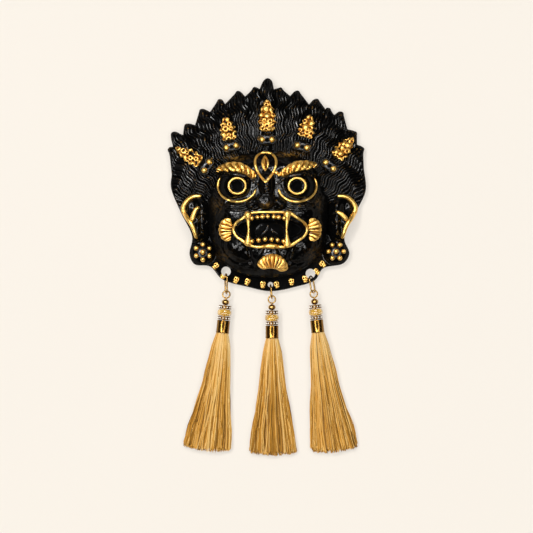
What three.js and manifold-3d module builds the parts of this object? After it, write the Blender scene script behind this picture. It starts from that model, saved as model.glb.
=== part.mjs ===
// Kirtimukha wall mask: one cast mask of a wrathful guardian with three silk tassels on its collar.
// Millimetres. The part lies on its back on the table: +Z is the way the face looks and +Y is its crown.
// The origin is under the middle of the whole part. Mask places are measured from the middle of the face.
import * as THREE from "three";
import { mergeVertices } from "three/addons/utils/BufferGeometryUtils.js";
import Module from "manifold-3d";

const wasm = await Module();
wasm.setup();

// Driving dimensions

const FACE_Y = 40; // middle of the face, above the middle of the whole part
const GAP = 0.3; // clearance between pieces that touch
const PLATE = { edge: 4.4, heart: 12.5, bevel: 1.5, bevelInset: 0.985, lockRelief: 0.9 };
const DOME = { x: 0.8, y: -9.5, halfWidth: 34, halfHeight: 37, foot: 3, rim: 6, crown: 24, power: 2.4 };
const CAVITY = { x: 1, y: -7, halfWidth: 25, halfHeight: 29, depth: 12.5 };
// Holes through the collar: place in plan and radius. The middle one has room for its ring alone.
const HOLES = [
  [-22.7, -42.8, 2.7],
  [2.2, -50.2, 1.5],
  [24.6, -44.0, 2.7],
];
const GROOVE = { width: 5, depth: 2, length: 12 };

// Hair locks round the top of the outline, from the right temple over the crown to the left temple.
const LOCK_TIPS = [
  [54.8, 26.0], [50.6, 35.1], [42.9, 46.3], [35.5, 48.7], [28.7, 53.9], [17.9, 58.5], [8.2, 60.3],
  [0.7, 65.5],
  [-7.1, 60.5], [-16.5, 58.3], [-27.0, 53.6], [-37.3, 47.9], [-45.7, 39.6], [-53.3, 34.8], [-55.4, 25.4],
];
const LOCK_VALLEYS = [
  [50.7, 28.3], [45.4, 36.8], [37.9, 44.9], [33.6, 47.3], [23.8, 50.8], [13.2, 55.5], [4.2, 59.2],
  [-3.9, 59.4], [-12.0, 55.2], [-23.2, 51.0], [-31.6, 46.6], [-40.0, 39.2], [-46.8, 33.4], [-52.4, 27.0],
];
const TIP_HALF_WIDTH = 1.2;
const CROWN_LOCK = 7; // the tall lock over the forehead, with a blunt tip
const CROWN_TIP_HALF_WIDTH = 1.8;
// Knots of the smooth outline below the hair: left ear, left lobe, collar, right lobe, right ear.
const LOWER_EDGE = [
  [-53.1, 11.5], [-53.5, 4.2], [-47.8, -10.2], [-41.6, -23.4],
  [-43.1, -33.2], [-40.4, -38.7], [-31.6, -40.1],
  [-24.8, -47.2], [-10.4, -51.5], [2.0, -53.9], [16.0, -51.5], [27.3, -47.6],
  [31.6, -41.2], [43.2, -38.2], [46.4, -32.8],
  [43.6, -24.2], [50.0, -9.8], [55.6, 2.6], [54.5, 15.4],
];

const EYES = { x: 0.4, y: 4.9, spread: 16.7, ballRadius: 10.5, ballHeight: 14.2 };
const EYE_RING = { radius: 4.6, wire: 0.75 };
const PUPIL = { radius: 3.9, depth: 3.2 };
const LIDS = { halfWidth: 10.8, halfHeight: 9.2, rise: 0.3, wire: 0.9, from: 152, to: 348 };
const BROWS = { ribs: 6, halfWidth: 3.3, flatness: 0.8, groove: 0.74, lift: 0.4 };
const BROW_LINES = [
  [[-28.2, 13.6], [-22.6, 15.3], [-15.6, 15.2], [-10.2, 12.7], [-6.4, 9.4]],
  [[29.0, 16.5], [23.6, 16.5], [17.1, 15.8], [11.8, 13.5], [8.0, 10.8]],
];
const THIRD_EYE = { x: -0.5, y: 15.3, halfWidth: 7.7, halfHeight: 8.4, wire: 0.75 };
const SPINDLE = { x: -0.7, y: 17.8, halfWidth: 2.1, halfHeight: 4.2, rise: 2.0 };
const NOSE = [
  { x: 0, y: 5, z: 19, rx: 5.0, ry: 9.5, rz: 8.0 },
  { x: -0.6, y: -3.6, z: 22, rx: 5.6, ry: 5.0, rz: 11.0 },
  { x: -6.8, y: -5.8, z: 20, rx: 4.2, ry: 3.2, rz: 8.0 },
  { x: 6.6, y: -5.8, z: 20, rx: 4.2, ry: 3.2, rz: 8.0 },
];
const SOFT_FORMS = [
  { x: 0.8, y: -19.5, rx: 17, ry: 9, rise: 4.5 }, // muzzle
  { x: -20.5, y: -8, rx: 8, ry: 7, rise: 4.0 }, // left cheek
  { x: 22.5, y: -8, rx: 8, ry: 7, rise: 4.0 }, // right cheek
  { x: -14.5, y: 16, rx: 11, ry: 5, rise: 5.0 }, // left brow ridge
  { x: 16.5, y: 16, rx: 11, ry: 5, rise: 5.0 }, // right brow ridge
  { x: -20, y: -31, rx: 8, ry: 7, rise: 3.5 }, // left jowl
  { x: 23, y: -31, rx: 8, ry: 7, rise: 3.5 }, // right jowl
  { x: 2.5, y: -37.5, rx: 10, ry: 6, rise: 6.0 }, // chin
];
const MOUTH = { x: 2.1, y: -19.4, halfWidth: 20.5, halfHeight: 9.7, flat: 10.8, lip: 1.35, floor: 18.2 };
const THROAT = { widthShare: 0.84, heightShare: 0.6 };
const TONGUE = { halfWidth: 7.5, halfHeight: 6.5, rise: 2.6 };
const TEETH_RADIUS = 1.35;
const UPPER_TEETH = { from: -8.0, to: 9.8, y: -13.4, bow: 1.0, count: 7 };
const LOWER_TEETH = { from: -8.0, to: 9.6, y: -25.7, bow: 1.0, count: 6 };
const FANGS = { x: 0.6, spread: 11, radius: 2, tip: 0.75, lean: 0.6 };
const CHEEK_SHELLS = { x: 2.0, y: -19.2, spread: 18.6, reachX: 6.2, reachY: 5.5, arc: 136, ribs: 6 };
const CHIN_SHELL = { x: 2.9, y: -42.6, reachX: 6.5, reachY: 5.6, arc: 160, ribs: 6, turn: 81 };
const SHELL = { halfWidth: 4.3, flatness: 0.5, groove: 0.76, lift: 0.7 };
const EARS = { x: 1.6, wire: 1.3, lift: 0.2 };
const EAR_RIM = [
  [37.8, -0.5], [42.9, -1.0], [46.5, -3.8], [48.2, -7.6], [46.7, -11.5], [43.2, -17.0], [40.6, -24.6],
];
const EAR_FOLD = [[37.0, -8.4], [41.0, -10.6], [44.0, -14.4]];
const EAR_FORM = { x: 39.5, y: -13, z: 2, rx: 8.2, ry: 15.5, rz: 9.5 };
const LOBE_FORM = { x: 37.4, y: -32.5, z: 2, rx: 7.6, ry: 7.4, rz: 7.0 };
const ROSETTE = { radius: 4.2, beads: 6, beadRadius: 1.6 };
const ROSETTE_PLACES = [
  { x: -35.6, y: -31.9, turn: 30 },
  { x: 38.9, y: -31.6, turn: 0 },
];

// Crown jewels: where the foot of each flame stands, how far it leans from upright, and its size.
// Below it is a round seat with two bead studs, at its own distance from the flame's foot.
const FLAMES = [
  { x: 38.8, y: 20.6, lean: -40, length: 15.4, width: 9.4, seatBelow: 5.6 },
  { x: 21.2, y: 31.8, lean: -15, length: 13.6, width: 10.0, seatBelow: 5.0 },
  { x: 0.3, y: 35.2, lean: 0, length: 18.4, width: 10.4, seatBelow: 4.3 },
  { x: -20.4, y: 30.4, lean: 12, length: 13.9, width: 9.8, seatBelow: 3.6 },
  { x: -36.6, y: 18.0, lean: 59, length: 16.8, width: 8.8, seatBelow: 3.9 },
];
const FLAME = { lobes: 3, scallop: 0.2, edge: 1.2, ridge: 2.6, ridgeShare: 0.5, sink: 4.0 };
const SEAT = { rx: 4.4, ry: 4.0, rz: 2.4 };
const STUDS = { radius: 1.5, spread: 2.6 };

// Row of small skulls along the collar, as shares of the collar line from its left end to its right end.
const COLLAR_LINE = [
  [-28.6, -39.4], [-23.6, -45.4], [-10.6, -48.6], [1.8, -50.4], [14.0, -48.6], [25.2, -45.4], [31.6, -38.4],
];
const SKULL_SHARES = [0.005, 0.107, 0.219, 0.316, 0.445, 0.559, 0.686, 0.8, 0.912, 0.995];
const SKULL = { width: 2.9, height: 3.8, rise: 1.2 };

// Tassels, measured along each cord's line from the middle of its eye loop.
const AXIS_Z = 4.05; // height of the threaded pieces, so that the widest bead rests on the table
const WIRE = 0.42;
const RING = { height: 6.4, wire: 0.45, z: 3.3, holeGap: 0.8, eyeGap: 0.5 };
const EYE_RADIUS = 2.02;
const BALL = { from: 2.75, length: 3.2, radius: 2.05 };
const RONDELLE = { from: [6.25, 12.4], length: 1.85, radius: 3.5, waist: 3.1 };
const CRYSTAL = { from: 8.4, length: 3.7, radius: 4.0, faceRadius: 2.8 };
const CAP = { from: 14.55, length: 7.1, radius: 3.7, wall: 0.45 };
const PIN_END = 16.4;
const SKIRT = { neck: 19.2, end: 86.8, flutes: 6, fluteDepth: 0.05, hem: 1.4 };
const SKIRT_SECTIONS = [
  { share: 0, halfWidth: 2.7, halfDepth: 2.7 },
  { share: 0.04, halfWidth: 2.9, halfDepth: 2.8 },
  { share: 0.15, halfWidth: 5.1, halfDepth: 3.3 },
  { share: 0.3, halfWidth: 6.3, halfDepth: 3.2 },
  { share: 0.62, halfWidth: 9.2, halfDepth: 2.9 },
  { share: 1, halfWidth: 13.2, halfDepth: 2.4 },
];
const TASSELS = [
  { name: "left", hole: HOLES[0], loop: [-22.5, -15.7], lean: -5.8, ringTurn: 12, sway: -1.4 },
  { name: "middle", hole: HOLES[1], loop: [3.0, -18.5], lean: 0.3, ringTurn: 4, sway: 0.3 },
  { name: "right", hole: HOLES[2], loop: [26.5, -15.4], lean: 6.0, ringTurn: -22, sway: 1.8 },
];

// Finishes

const LACQUER = new THREE.MeshStandardMaterial({ color: 0x0b0b0c, roughness: 0.32, metalness: 0 });
const BRASS = new THREE.MeshStandardMaterial({ color: 0xb98a3a, roughness: 0.25, metalness: 1 });
const CHAMPAGNE_GLASS = new THREE.MeshStandardMaterial({ color: 0xe6c67a, roughness: 0.1, metalness: 0 });
const SILK = new THREE.MeshStandardMaterial({ color: 0xcfa255, roughness: 0.6, metalness: 0 });

// Closed solids

const WELD = 1e-4;
const UP = new THREE.Vector3(0, 0, 1);
const radians = THREE.MathUtils.degToRad;
const mix = THREE.MathUtils.lerp;
const point = (x, y, z) => new THREE.Vector3(x, y, z);

function solidOf(geometry) {
  const bare = geometry.clone();
  bare.deleteAttribute("normal");
  bare.deleteAttribute("uv");
  const merged = mergeVertices(bare, WELD);
  const mesh = new wasm.Mesh({
    numProp: 3,
    vertProperties: merged.attributes.position.array,
    triVerts: new Uint32Array(merged.index.array),
  });
  return new wasm.Manifold(mesh);
}

function geometryOf(solid) {
  const mesh = solid.getMesh();
  const geometry = new THREE.BufferGeometry();
  geometry.setAttribute("position", new THREE.BufferAttribute(mesh.vertProperties, 3));
  geometry.setIndex(new THREE.BufferAttribute(mesh.triVerts, 1));
  geometry.computeVertexNormals();
  return geometry;
}

const join = (solids) => solids.reduce((whole, solid) => whole.add(solid));

function middleOf(ring) {
  return ring.reduce((sum, spot) => sum.add(spot), point(0, 0, 0)).divideScalar(ring.length);
}

// A closed skin over rings of equal count, each counterclockwise as seen from the last ring.
// An open run of rings is capped at both ends; a looped one returns to its first ring.
function skinOver(rings, looped = false) {
  const count = rings[0].length;
  const spots = rings.flat();
  const faces = [];
  const bands = looped ? rings.length : rings.length - 1;
  for (let i = 0; i < bands; i++) {
    const low = i * count;
    const high = ((i + 1) % rings.length) * count;
    for (let j = 0; j < count; j++) {
      const k = (j + 1) % count;
      faces.push(low + j, low + k, high + k, low + j, high + k, high + j);
    }
  }
  if (!looped) {
    const last = (rings.length - 1) * count;
    for (let j = 0; j < count; j++) {
      const k = (j + 1) % count;
      faces.push(spots.length, k, j);
      faces.push(spots.length + 1, last + j, last + k);
    }
    spots.push(middleOf(rings[0]), middleOf(rings[rings.length - 1]));
  }
  const geometry = new THREE.BufferGeometry().setFromPoints(spots);
  geometry.setIndex(faces);
  return geometry;
}

// A bar along a curve that lies more or less level, with its radius given along it.
function barAlong(curve, radiusAt, { steps, sides, flatness = 1, looped = false }) {
  const rings = Array.from({ length: looped ? steps : steps + 1 }, (_, i) => {
    const share = i / steps;
    const heart = curve.getPoint(share);
    const ahead = curve.getTangent(share);
    const side = point(0, 0, 0).crossVectors(UP, ahead).normalize();
    const over = point(0, 0, 0).crossVectors(ahead, side).multiplyScalar(flatness);
    return circleOf(heart, side, over, radiusAt(share), sides);
  });
  return skinOver(rings, looped);
}

function circleOf(heart, side, over, radius, sides) {
  return Array.from({ length: sides }, (_, j) => {
    const turn = (2 * Math.PI * j) / sides + Math.PI / 2;
    const spot = heart.clone();
    spot.addScaledVector(side, radius * Math.cos(turn));
    spot.addScaledVector(over, radius * Math.sin(turn));
    return spot;
  });
}

// A bar with ribs or beads: its radius swells once for each and shrinks to the neck between them.
function beadedBar(curve, radiusAt, { beads, neck, ...shape }) {
  const steps = 2 * beads;
  const swelling = (share) => radiusAt(share) * (Math.round(share * steps) % 2 ? 1 : neck);
  return solidOf(barAlong(curve, swelling, { steps, ...shape }));
}

function ellipsoid({ x, y, z, rx, ry, rz }, across, down) {
  const geometry = new THREE.SphereGeometry(1, across, down);
  geometry.rotateX(Math.PI / 2);
  geometry.scale(rx, ry, rz);
  geometry.translate(x, y, z);
  return solidOf(geometry);
}

// A curve through plane knots, laid on the carved surface.
function onSurface(knots, lift = 0, looped = false) {
  const spots = knots.map(([x, y]) => point(x, y, surfaceAt(x, y) + lift));
  return new THREE.CatmullRomCurve3(spots, looped, "centripetal");
}

function arcKnots(x, y, reachX, reachY, from, to, count) {
  return Array.from({ length: count }, (_, i) => {
    const turn = radians(mix(from, to, i / (count - 1)));
    return [x + reachX * Math.cos(turn), y + reachY * Math.sin(turn)];
  });
}

// Outline

function between(a, b, share) {
  return [mix(a[0], b[0], share), mix(a[1], b[1], share)];
}

// The blunt tip of a lock: two points either side of it, along the line between its partings.
function bluntTip(tip, halfWidth, partingBefore, partingAfter) {
  const width = Math.hypot(partingAfter[0] - partingBefore[0], partingAfter[1] - partingBefore[1]);
  const along = partingAfter.map((value, axis) => ((value - partingBefore[axis]) / width) * halfWidth);
  return [
    [tip[0] - along[0], tip[1] - along[1]],
    [tip[0] + along[0], tip[1] + along[1]],
  ];
}

// Outline points counterclockwise, each with its relief: 1 on a lock, -1 in a parting, 0 below the hair.
function maskOutline(lowerSteps) {
  const partings = [LOWER_EDGE[LOWER_EDGE.length - 1], ...LOCK_VALLEYS, LOWER_EDGE[0]];
  const locks = LOCK_TIPS.flatMap((tip, i) => {
    const halfWidth = i === CROWN_LOCK ? CROWN_TIP_HALF_WIDTH : TIP_HALF_WIDTH;
    const [near, far] = bluntTip(tip, halfWidth, partings[i], partings[i + 1]);
    return [
      { at: partings[i], relief: -1 },
      { at: near, relief: 1 },
      { at: far, relief: 1 },
    ];
  });
  const knots = LOWER_EDGE.map(([x, y]) => point(x, y, 0));
  const curve = new THREE.CatmullRomCurve3(knots, false, "centripetal");
  const lower = Array.from({ length: lowerSteps }, (_, i) => {
    const { x, y } = curve.getPoint(i / lowerSteps);
    return { at: [x, y], relief: 0 };
  });
  return [...locks, ...lower];
}

const OUTLINE = maskOutline(24);

// Soft forms, as heights over the table

const HAIR_FADE = { from: -14, to: 10 }; // below this the plate is the flat flange of lobes and collar
const HAIR_SWEEP = 0.5; // share of the way in from the edge over which the hair rises

// Height of the back plate at a share of the way from the middle of the face to the outline.
function plateHeight(share, y) {
  const hair = THREE.MathUtils.smoothstep(y, HAIR_FADE.from, HAIR_FADE.to);
  const sweep = THREE.MathUtils.clamp((1 - share) / HAIR_SWEEP, 0, 1);
  return PLATE.edge + hair * (PLATE.heart - PLATE.edge) * Math.sin((sweep * Math.PI) / 2);
}

function domeHeight(x, y) {
  const across = Math.abs((x - DOME.x) / DOME.halfWidth) ** DOME.power;
  const along = Math.abs((y - DOME.y) / DOME.halfHeight) ** DOME.power;
  const swell = Math.max(0, 1 - (across + along) ** (2 / DOME.power)) ** 0.55;
  const soft = SOFT_FORMS.reduce((sum, form) => {
    const apart = ((x - form.x) / form.rx) ** 2 + ((y - form.y) / form.ry) ** 2;
    return sum + form.rise * Math.exp(-apart);
  }, 0);
  return DOME.rim + (DOME.crown - DOME.rim) * swell + soft * Math.min(1, 3 * swell);
}

const SIDES = [-1, 1];
const EAR_FORMS = SIDES.map((side) => ({ ...EAR_FORM, x: EARS.x + side * EAR_FORM.x }));
const LOBE_FORMS = SIDES.map((side) => ({ ...LOBE_FORM, x: EARS.x + side * LOBE_FORM.x }));
const EYEBALLS = SIDES.map((side) => ({
  x: EYES.x + side * EYES.spread,
  y: EYES.y,
  z: EYES.ballHeight,
  rx: EYES.ballRadius,
  ry: EYES.ballRadius,
  rz: EYES.ballRadius,
}));

// Mask: plate, dome, ears, nose and eyeballs

const MASK_SPAN = 200; // wider and taller than the mask, for cuts that go right through
const PLATE_RINGS = [0.82, 0.5];
const DOME_SPOKES = 20;
const DOME_RINGS = [1, 0.95, 0.83, 0.68, 0.52, 0.36, 0.18];

function backPlate() {
  const ring = (share, heightAt) =>
    OUTLINE.map(({ at, relief }) => point(at[0] * share, at[1] * share, heightAt(at[1] * share, relief)));
  const carvedRing = (share) =>
    ring(share, (y, relief) => plateHeight(share, y) + relief * PLATE.lockRelief);
  return solidOf(
    skinOver([
      ring(1, () => 0),
      ring(1, () => PLATE.edge - PLATE.bevel),
      ring(PLATE.bevelInset, () => PLATE.edge),
      ...PLATE_RINGS.map(carvedRing),
    ]),
  );
}

function faceDome() {
  const ring = (share, heightAt) =>
    Array.from({ length: DOME_SPOKES }, (_, j) => {
      const turn = (2 * Math.PI * j) / DOME_SPOKES;
      const [across, along] = [Math.cos(turn), Math.sin(turn)];
      const round = Math.abs(across) ** DOME.power + Math.abs(along) ** DOME.power;
      const reach = share * round ** (-1 / DOME.power);
      const x = DOME.x + DOME.halfWidth * across * reach;
      const y = DOME.y + DOME.halfHeight * along * reach;
      return point(x, y, heightAt(x, y));
    });
  const foot = ring(1, () => DOME.foot);
  return solidOf(skinOver([foot, ...DOME_RINGS.map((share) => ring(share, domeHeight))]));
}

// Mask: carved ornament

const RIB_SIDES = 5;
const WIRE_SIDES = 4;
const LINE_SIDES = 3;
const MOUND_FACETS = [6, 5];
const EYEBALL_FACETS = [10, 7];
const SEAT_FACETS = [5, 3];
const MOUNDS = [...EAR_FORMS, ...LOBE_FORMS, ...NOSE].map((form) => ellipsoid(form, ...MOUND_FACETS));
const EYEBALL_SOLIDS = EYEBALLS.map((ball) => ellipsoid(ball, ...EYEBALL_FACETS));
const HEAD = join([backPlate(), faceDome(), ...MOUNDS, ...EYEBALL_SOLIDS]);
const HEAD_MESH = new THREE.Mesh(geometryOf(HEAD), LACQUER);

// Height of the head at a place in plan, found by a ray from above.
function surfaceAt(x, y) {
  const ray = new THREE.Raycaster(point(x, y, MASK_SPAN), point(0, 0, -1));
  return ray.intersectObject(HEAD_MESH)[0].point.z;
}

function bead(x, y, radius) {
  const z = surfaceAt(x, y) + radius * 0.3;
  return ellipsoid({ x, y, z, rx: radius, ry: radius, rz: radius }, 5, 3);
}

function eyeRing(ball) {
  const ring = new THREE.TorusGeometry(EYE_RING.radius, EYE_RING.wire, WIRE_SIDES, 10);
  ring.translate(ball.x, ball.y, surfaceAt(ball.x + EYE_RING.radius, ball.y));
  return solidOf(ring);
}

function pupil(ball) {
  const well = new THREE.CylinderGeometry(PUPIL.radius, PUPIL.radius, PUPIL.depth * 2, 10);
  well.rotateX(Math.PI / 2);
  well.translate(ball.x, ball.y, ball.z + EYES.ballRadius);
  return solidOf(well);
}

function lid(side) {
  const [x, y] = [EYES.x + side * EYES.spread, EYES.y + LIDS.rise];
  const knots = arcKnots(x, y, -side * LIDS.halfWidth, LIDS.halfHeight, LIDS.from, LIDS.to, 7);
  return solidOf(barAlong(onSurface(knots, 0.2), () => LIDS.wire, { steps: 5, sides: LINE_SIDES }));
}

// A crescent of ribs, thick over the eye and thin at both ends.
function brow(knots) {
  const { ribs, groove, halfWidth, flatness, lift } = BROWS;
  const girth = (share) => halfWidth * (0.55 + 0.45 * Math.sin(Math.PI * share));
  return beadedBar(onSurface(knots, lift), girth, { beads: ribs, neck: groove, sides: RIB_SIDES, flatness });
}

function thirdEye() {
  const knots = Array.from({ length: 10 }, (_, i) => {
    const turn = (2 * Math.PI * i) / 10;
    const x = THIRD_EYE.x + THIRD_EYE.halfWidth * Math.sin(turn) * Math.abs(Math.sin(turn / 2));
    return [x, THIRD_EYE.y - THIRD_EYE.halfHeight * Math.cos(turn)];
  });
  const line = onSurface(knots, 0.2, true);
  const drop = barAlong(line, () => THIRD_EYE.wire, { steps: 8, sides: LINE_SIDES, looped: true });
  const { x, y, halfWidth, halfHeight, rise } = SPINDLE;
  const spindle = { x, y, z: surfaceAt(x, y), rx: halfWidth, ry: halfHeight, rz: rise };
  return join([solidOf(drop), ellipsoid(spindle, 6, 4)]);
}

// The mouth's outline: level lips and rounded corners.
function mouthKnots(widthShare = 1, heightShare = 1) {
  const level = MOUTH.flat / MOUTH.halfWidth;
  const upper = [[1, 0], [0.88, 0.5], [level, 0.94], [0, 1], [-level, 0.94], [-0.88, 0.5]];
  const lower = upper.map(([across, along]) => [-across, -along]);
  return [...upper, ...lower].map(([across, along]) => [
    MOUTH.x + across * MOUTH.halfWidth * widthShare,
    MOUTH.y + along * MOUTH.halfHeight * heightShare,
  ]);
}

function throat() {
  const outline = mouthKnots(THROAT.widthShare, THROAT.heightShare).map(([x, y]) => new THREE.Vector2(x, y));
  const size = { depth: DOME.crown, bevelEnabled: false };
  const well = new THREE.ExtrudeGeometry(new THREE.Shape(outline), size);
  well.translate(0, 0, MOUTH.floor);
  return solidOf(well);
}

function tongue() {
  const size = { rx: TONGUE.halfWidth, ry: TONGUE.halfHeight, rz: TONGUE.rise };
  return ellipsoid({ x: MOUTH.x, y: MOUTH.y - 2, z: MOUTH.floor - 0.2, ...size }, 7, 3);
}

function lips() {
  const line = onSurface(mouthKnots(), 0.2, true);
  return solidOf(barAlong(line, () => MOUTH.lip, { steps: 12, sides: LINE_SIDES, looped: true }));
}

// Upper and lower fangs meet tip to tip, as two upright bars across the open mouth.
function fang(side, end) {
  const x = FANGS.x + side * FANGS.spread;
  const y = MOUTH.y + end * MOUTH.halfHeight;
  const z = surfaceAt(x, y);
  const line = new THREE.LineCurve3(point(x, y, z), point(x - side * FANGS.lean, MOUTH.y - end * 0.4, z));
  const girth = (share) => mix(FANGS.radius, FANGS.tip, share);
  return solidOf(barAlong(line, girth, { steps: 1, sides: WIRE_SIDES }));
}

function toothRow({ from, to, y, bow, count }) {
  return Array.from({ length: count }, (_, i) => {
    const share = i / (count - 1);
    return bead(mix(from, to, share), y + bow * Math.sin(Math.PI * share), TEETH_RADIUS);
  });
}

// A crescent of ribs that spreads like a scallop.
function shell({ x, y, reachX, reachY, arc, ribs, turn }) {
  const knots = arcKnots(x, y, reachX, reachY, turn - arc / 2, turn + arc / 2, 7);
  const { halfWidth, flatness, groove, lift } = SHELL;
  const girth = (share) => halfWidth * (0.6 + 0.4 * Math.sin(Math.PI * share));
  return beadedBar(onSurface(knots, lift), girth, { beads: ribs, neck: groove, sides: WIRE_SIDES, flatness });
}

function cheekShell(side) {
  return shell({ ...CHEEK_SHELLS, x: CHEEK_SHELLS.x + side * CHEEK_SHELLS.spread, turn: side > 0 ? 0 : 180 });
}

function ear(side) {
  const place = ([x, y]) => [EARS.x + side * x, y];
  const rim = onSurface(EAR_RIM.map(place), EARS.lift);
  const fold = onSurface(EAR_FOLD.map(place), EARS.lift);
  const girth = (share) => EARS.wire * (0.8 + 0.4 * Math.sin(Math.PI * share));
  return join([
    solidOf(barAlong(rim, girth, { steps: 5, sides: LINE_SIDES })),
    solidOf(barAlong(fold, () => EARS.wire * 0.8, { steps: 3, sides: LINE_SIDES })),
  ]);
}

function rosette({ x, y, turn }) {
  const ring = arcKnots(x, y, ROSETTE.radius, ROSETTE.radius, turn, turn + 300, ROSETTE.beads);
  return [[x, y], ...ring].map(([beadX, beadY]) => bead(beadX, beadY, ROSETTE.beadRadius));
}

// A scalloped leaf with a pointed tip and a raised middle.
function flame({ x, y, lean, length, width }) {
  const right = Array.from({ length: 2 * FLAME.lobes }, (_, i) => {
    const share = i / (2 * FLAME.lobes);
    const girth = Math.sin(Math.PI * (0.25 + 0.75 * share)) ** 0.7;
    return [(width / 2) * girth * (i % 2 ? 1 : 1 - FLAME.scallop), share * length];
  });
  const left = right.toReversed().map(([across, along]) => [-across, along]);
  const outline = [...right, [0, length], ...left];
  const [sin, cos] = [Math.sin(radians(lean)), Math.cos(radians(lean))];
  const footHeight = surfaceAt(x, y);
  const tipHeight = surfaceAt(x - length * sin, y + length * cos);
  const ring = (share, rise) =>
    outline.map(([across, along]) => {
      const out = length / 2 + (along - length / 2) * (0.4 + 0.6 * share);
      const height = mix(footHeight, tipHeight, out / length) + rise;
      return point(x + across * share * cos - out * sin, y + across * share * sin + out * cos, height);
    });
  return solidOf(skinOver([ring(1, -FLAME.sink), ring(1, FLAME.edge), ring(FLAME.ridgeShare, FLAME.ridge)]));
}

// The round seat below a flame, with its two studs.
function seat({ x, y, lean, seatBelow }) {
  const [sin, cos] = [Math.sin(radians(lean)), Math.cos(radians(lean))];
  const [seatX, seatY] = [x + seatBelow * sin, y - seatBelow * cos];
  const z = surfaceAt(seatX, seatY);
  const knob = ellipsoid({ x: seatX, y: seatY, z, ...SEAT }, ...SEAT_FACETS);
  const beads = SIDES.map((side) => {
    const across = side * STUDS.spread;
    const size = { rx: STUDS.radius, ry: STUDS.radius, rz: STUDS.radius };
    const place = { x: seatX + across * cos, y: seatY + across * sin, z: z + SEAT.rz * 0.75 };
    return ellipsoid({ ...place, ...size }, 5, 3);
  });
  return join([knob, ...beads]);
}

function collarSkulls() {
  const line = onSurface(COLLAR_LINE);
  return SKULL_SHARES.map((share) => {
    const { x, y, z } = line.getPointAt(share);
    const ahead = line.getTangentAt(share);
    const block = new THREE.BoxGeometry(SKULL.width, SKULL.height, SKULL.rise * 2);
    block.rotateZ(Math.atan2(ahead.y, ahead.x));
    block.translate(x, y, z);
    return solidOf(block);
  });
}

// Mask: cuts

function hangingHole([x, y, radius]) {
  const hole = new THREE.CylinderGeometry(radius, radius, MASK_SPAN, 10);
  hole.rotateX(Math.PI / 2);
  hole.translate(x, y, 0);
  return solidOf(hole);
}

// Room behind the collar for the ring that passes round its edge.
function ringGroove([x, y]) {
  const groove = new THREE.BoxGeometry(GROOVE.width, GROOVE.length, GROOVE.depth * 2);
  groove.translate(x, y - GROOVE.length / 2, 0);
  return solidOf(groove);
}

function backCavity() {
  const { x, y, halfWidth, halfHeight, depth } = CAVITY;
  return ellipsoid({ x, y, z: 0, rx: halfWidth, ry: halfHeight, rz: depth }, 12, 5);
}

function underTable() {
  const block = new THREE.BoxGeometry(MASK_SPAN, MASK_SPAN, MASK_SPAN);
  block.translate(0, 0, -MASK_SPAN / 2);
  return solidOf(block);
}

function maskCasting() {
  const carved = join([
    HEAD.subtract(throat()).add(tongue()),
    ...EYEBALLS.map(eyeRing),
    ...SIDES.map(lid),
    ...BROW_LINES.map(brow),
    thirdEye(),
    lips(),
    ...SIDES.flatMap((side) => [fang(side, 1), fang(side, -1)]),
    ...toothRow(UPPER_TEETH),
    ...toothRow(LOWER_TEETH),
    ...SIDES.map(cheekShell),
    shell(CHIN_SHELL),
    ...SIDES.map(ear),
    ...ROSETTE_PLACES.flatMap(rosette),
    ...FLAMES.map(flame),
    ...FLAMES.map(seat),
    ...collarSkulls(),
  ]);
  const holes = HOLES.flatMap((place) => [hangingHole(place), ringGroove(place)]);
  return carved.subtract(join([underTable(), backCavity(), ...EYEBALLS.map(pupil), ...holes]));
}

// Tassels

const BORE = WIRE + GAP;

// A turned piece round the string's line, from a closed profile of [radius, distance along the line].
function turned(profile, sides) {
  const loop = [...profile, profile[0]].map(([radius, along]) => new THREE.Vector2(radius, -along));
  return new THREE.LatheGeometry(loop.toReversed(), sides);
}

// An oval of wire that stands on edge along Y.
function hangingRing(length) {
  const bend = RING.height / 2 - RING.wire;
  const straight = (length - RING.height) / 2;
  const knots = Array.from({ length: 10 }, (_, i) => {
    const turn = (2 * Math.PI * (i + 0.5)) / 10;
    const along = Math.sin(turn) * bend + Math.sign(Math.sin(turn)) * straight;
    return point(Math.cos(turn) * bend, along, 0);
  });
  const oval = new THREE.CatmullRomCurve3(knots, true, "centripetal");
  const ring = barAlong(oval, () => RING.wire, { steps: 10, sides: WIRE_SIDES, looped: true });
  return ring.rotateY(Math.PI / 2);
}

function eyePin() {
  const loop = new THREE.TorusGeometry(EYE_RADIUS, WIRE, WIRE_SIDES, 8);
  const length = PIN_END - EYE_RADIUS;
  const shank = new THREE.CylinderGeometry(WIRE, WIRE, length, 5);
  shank.translate(0, -EYE_RADIUS - length / 2, 0);
  return geometryOf(solidOf(loop).add(solidOf(shank)));
}

function ballBead() {
  const halfLength = BALL.length / 2;
  const reach = halfLength / Math.sqrt(1 - (BORE / BALL.radius) ** 2);
  const bow = Array.from({ length: 4 }, (_, i) => {
    const along = mix(-halfLength, halfLength, i / 3);
    return [BALL.radius * Math.sqrt(1 - (along / reach) ** 2), BALL.from + halfLength + along];
  });
  return turned(bow, 7);
}

// A flat metal spacer whose waist holds a row of small stones.
function rondelle(from) {
  const { length, radius, waist } = RONDELLE;
  const end = from + length;
  return turned([[BORE, from], [radius, from], [waist, from + length / 2], [radius, end], [BORE, end]], 7);
}

function crystalBead() {
  const { from, length, radius, faceRadius } = CRYSTAL;
  const end = from + length;
  const belly = [[radius, from + length * 0.36], [radius, from + length * 0.64]];
  return turned([[BORE, from], [faceRadius, from], ...belly, [faceRadius, end], [BORE, end]], 9);
}

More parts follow.
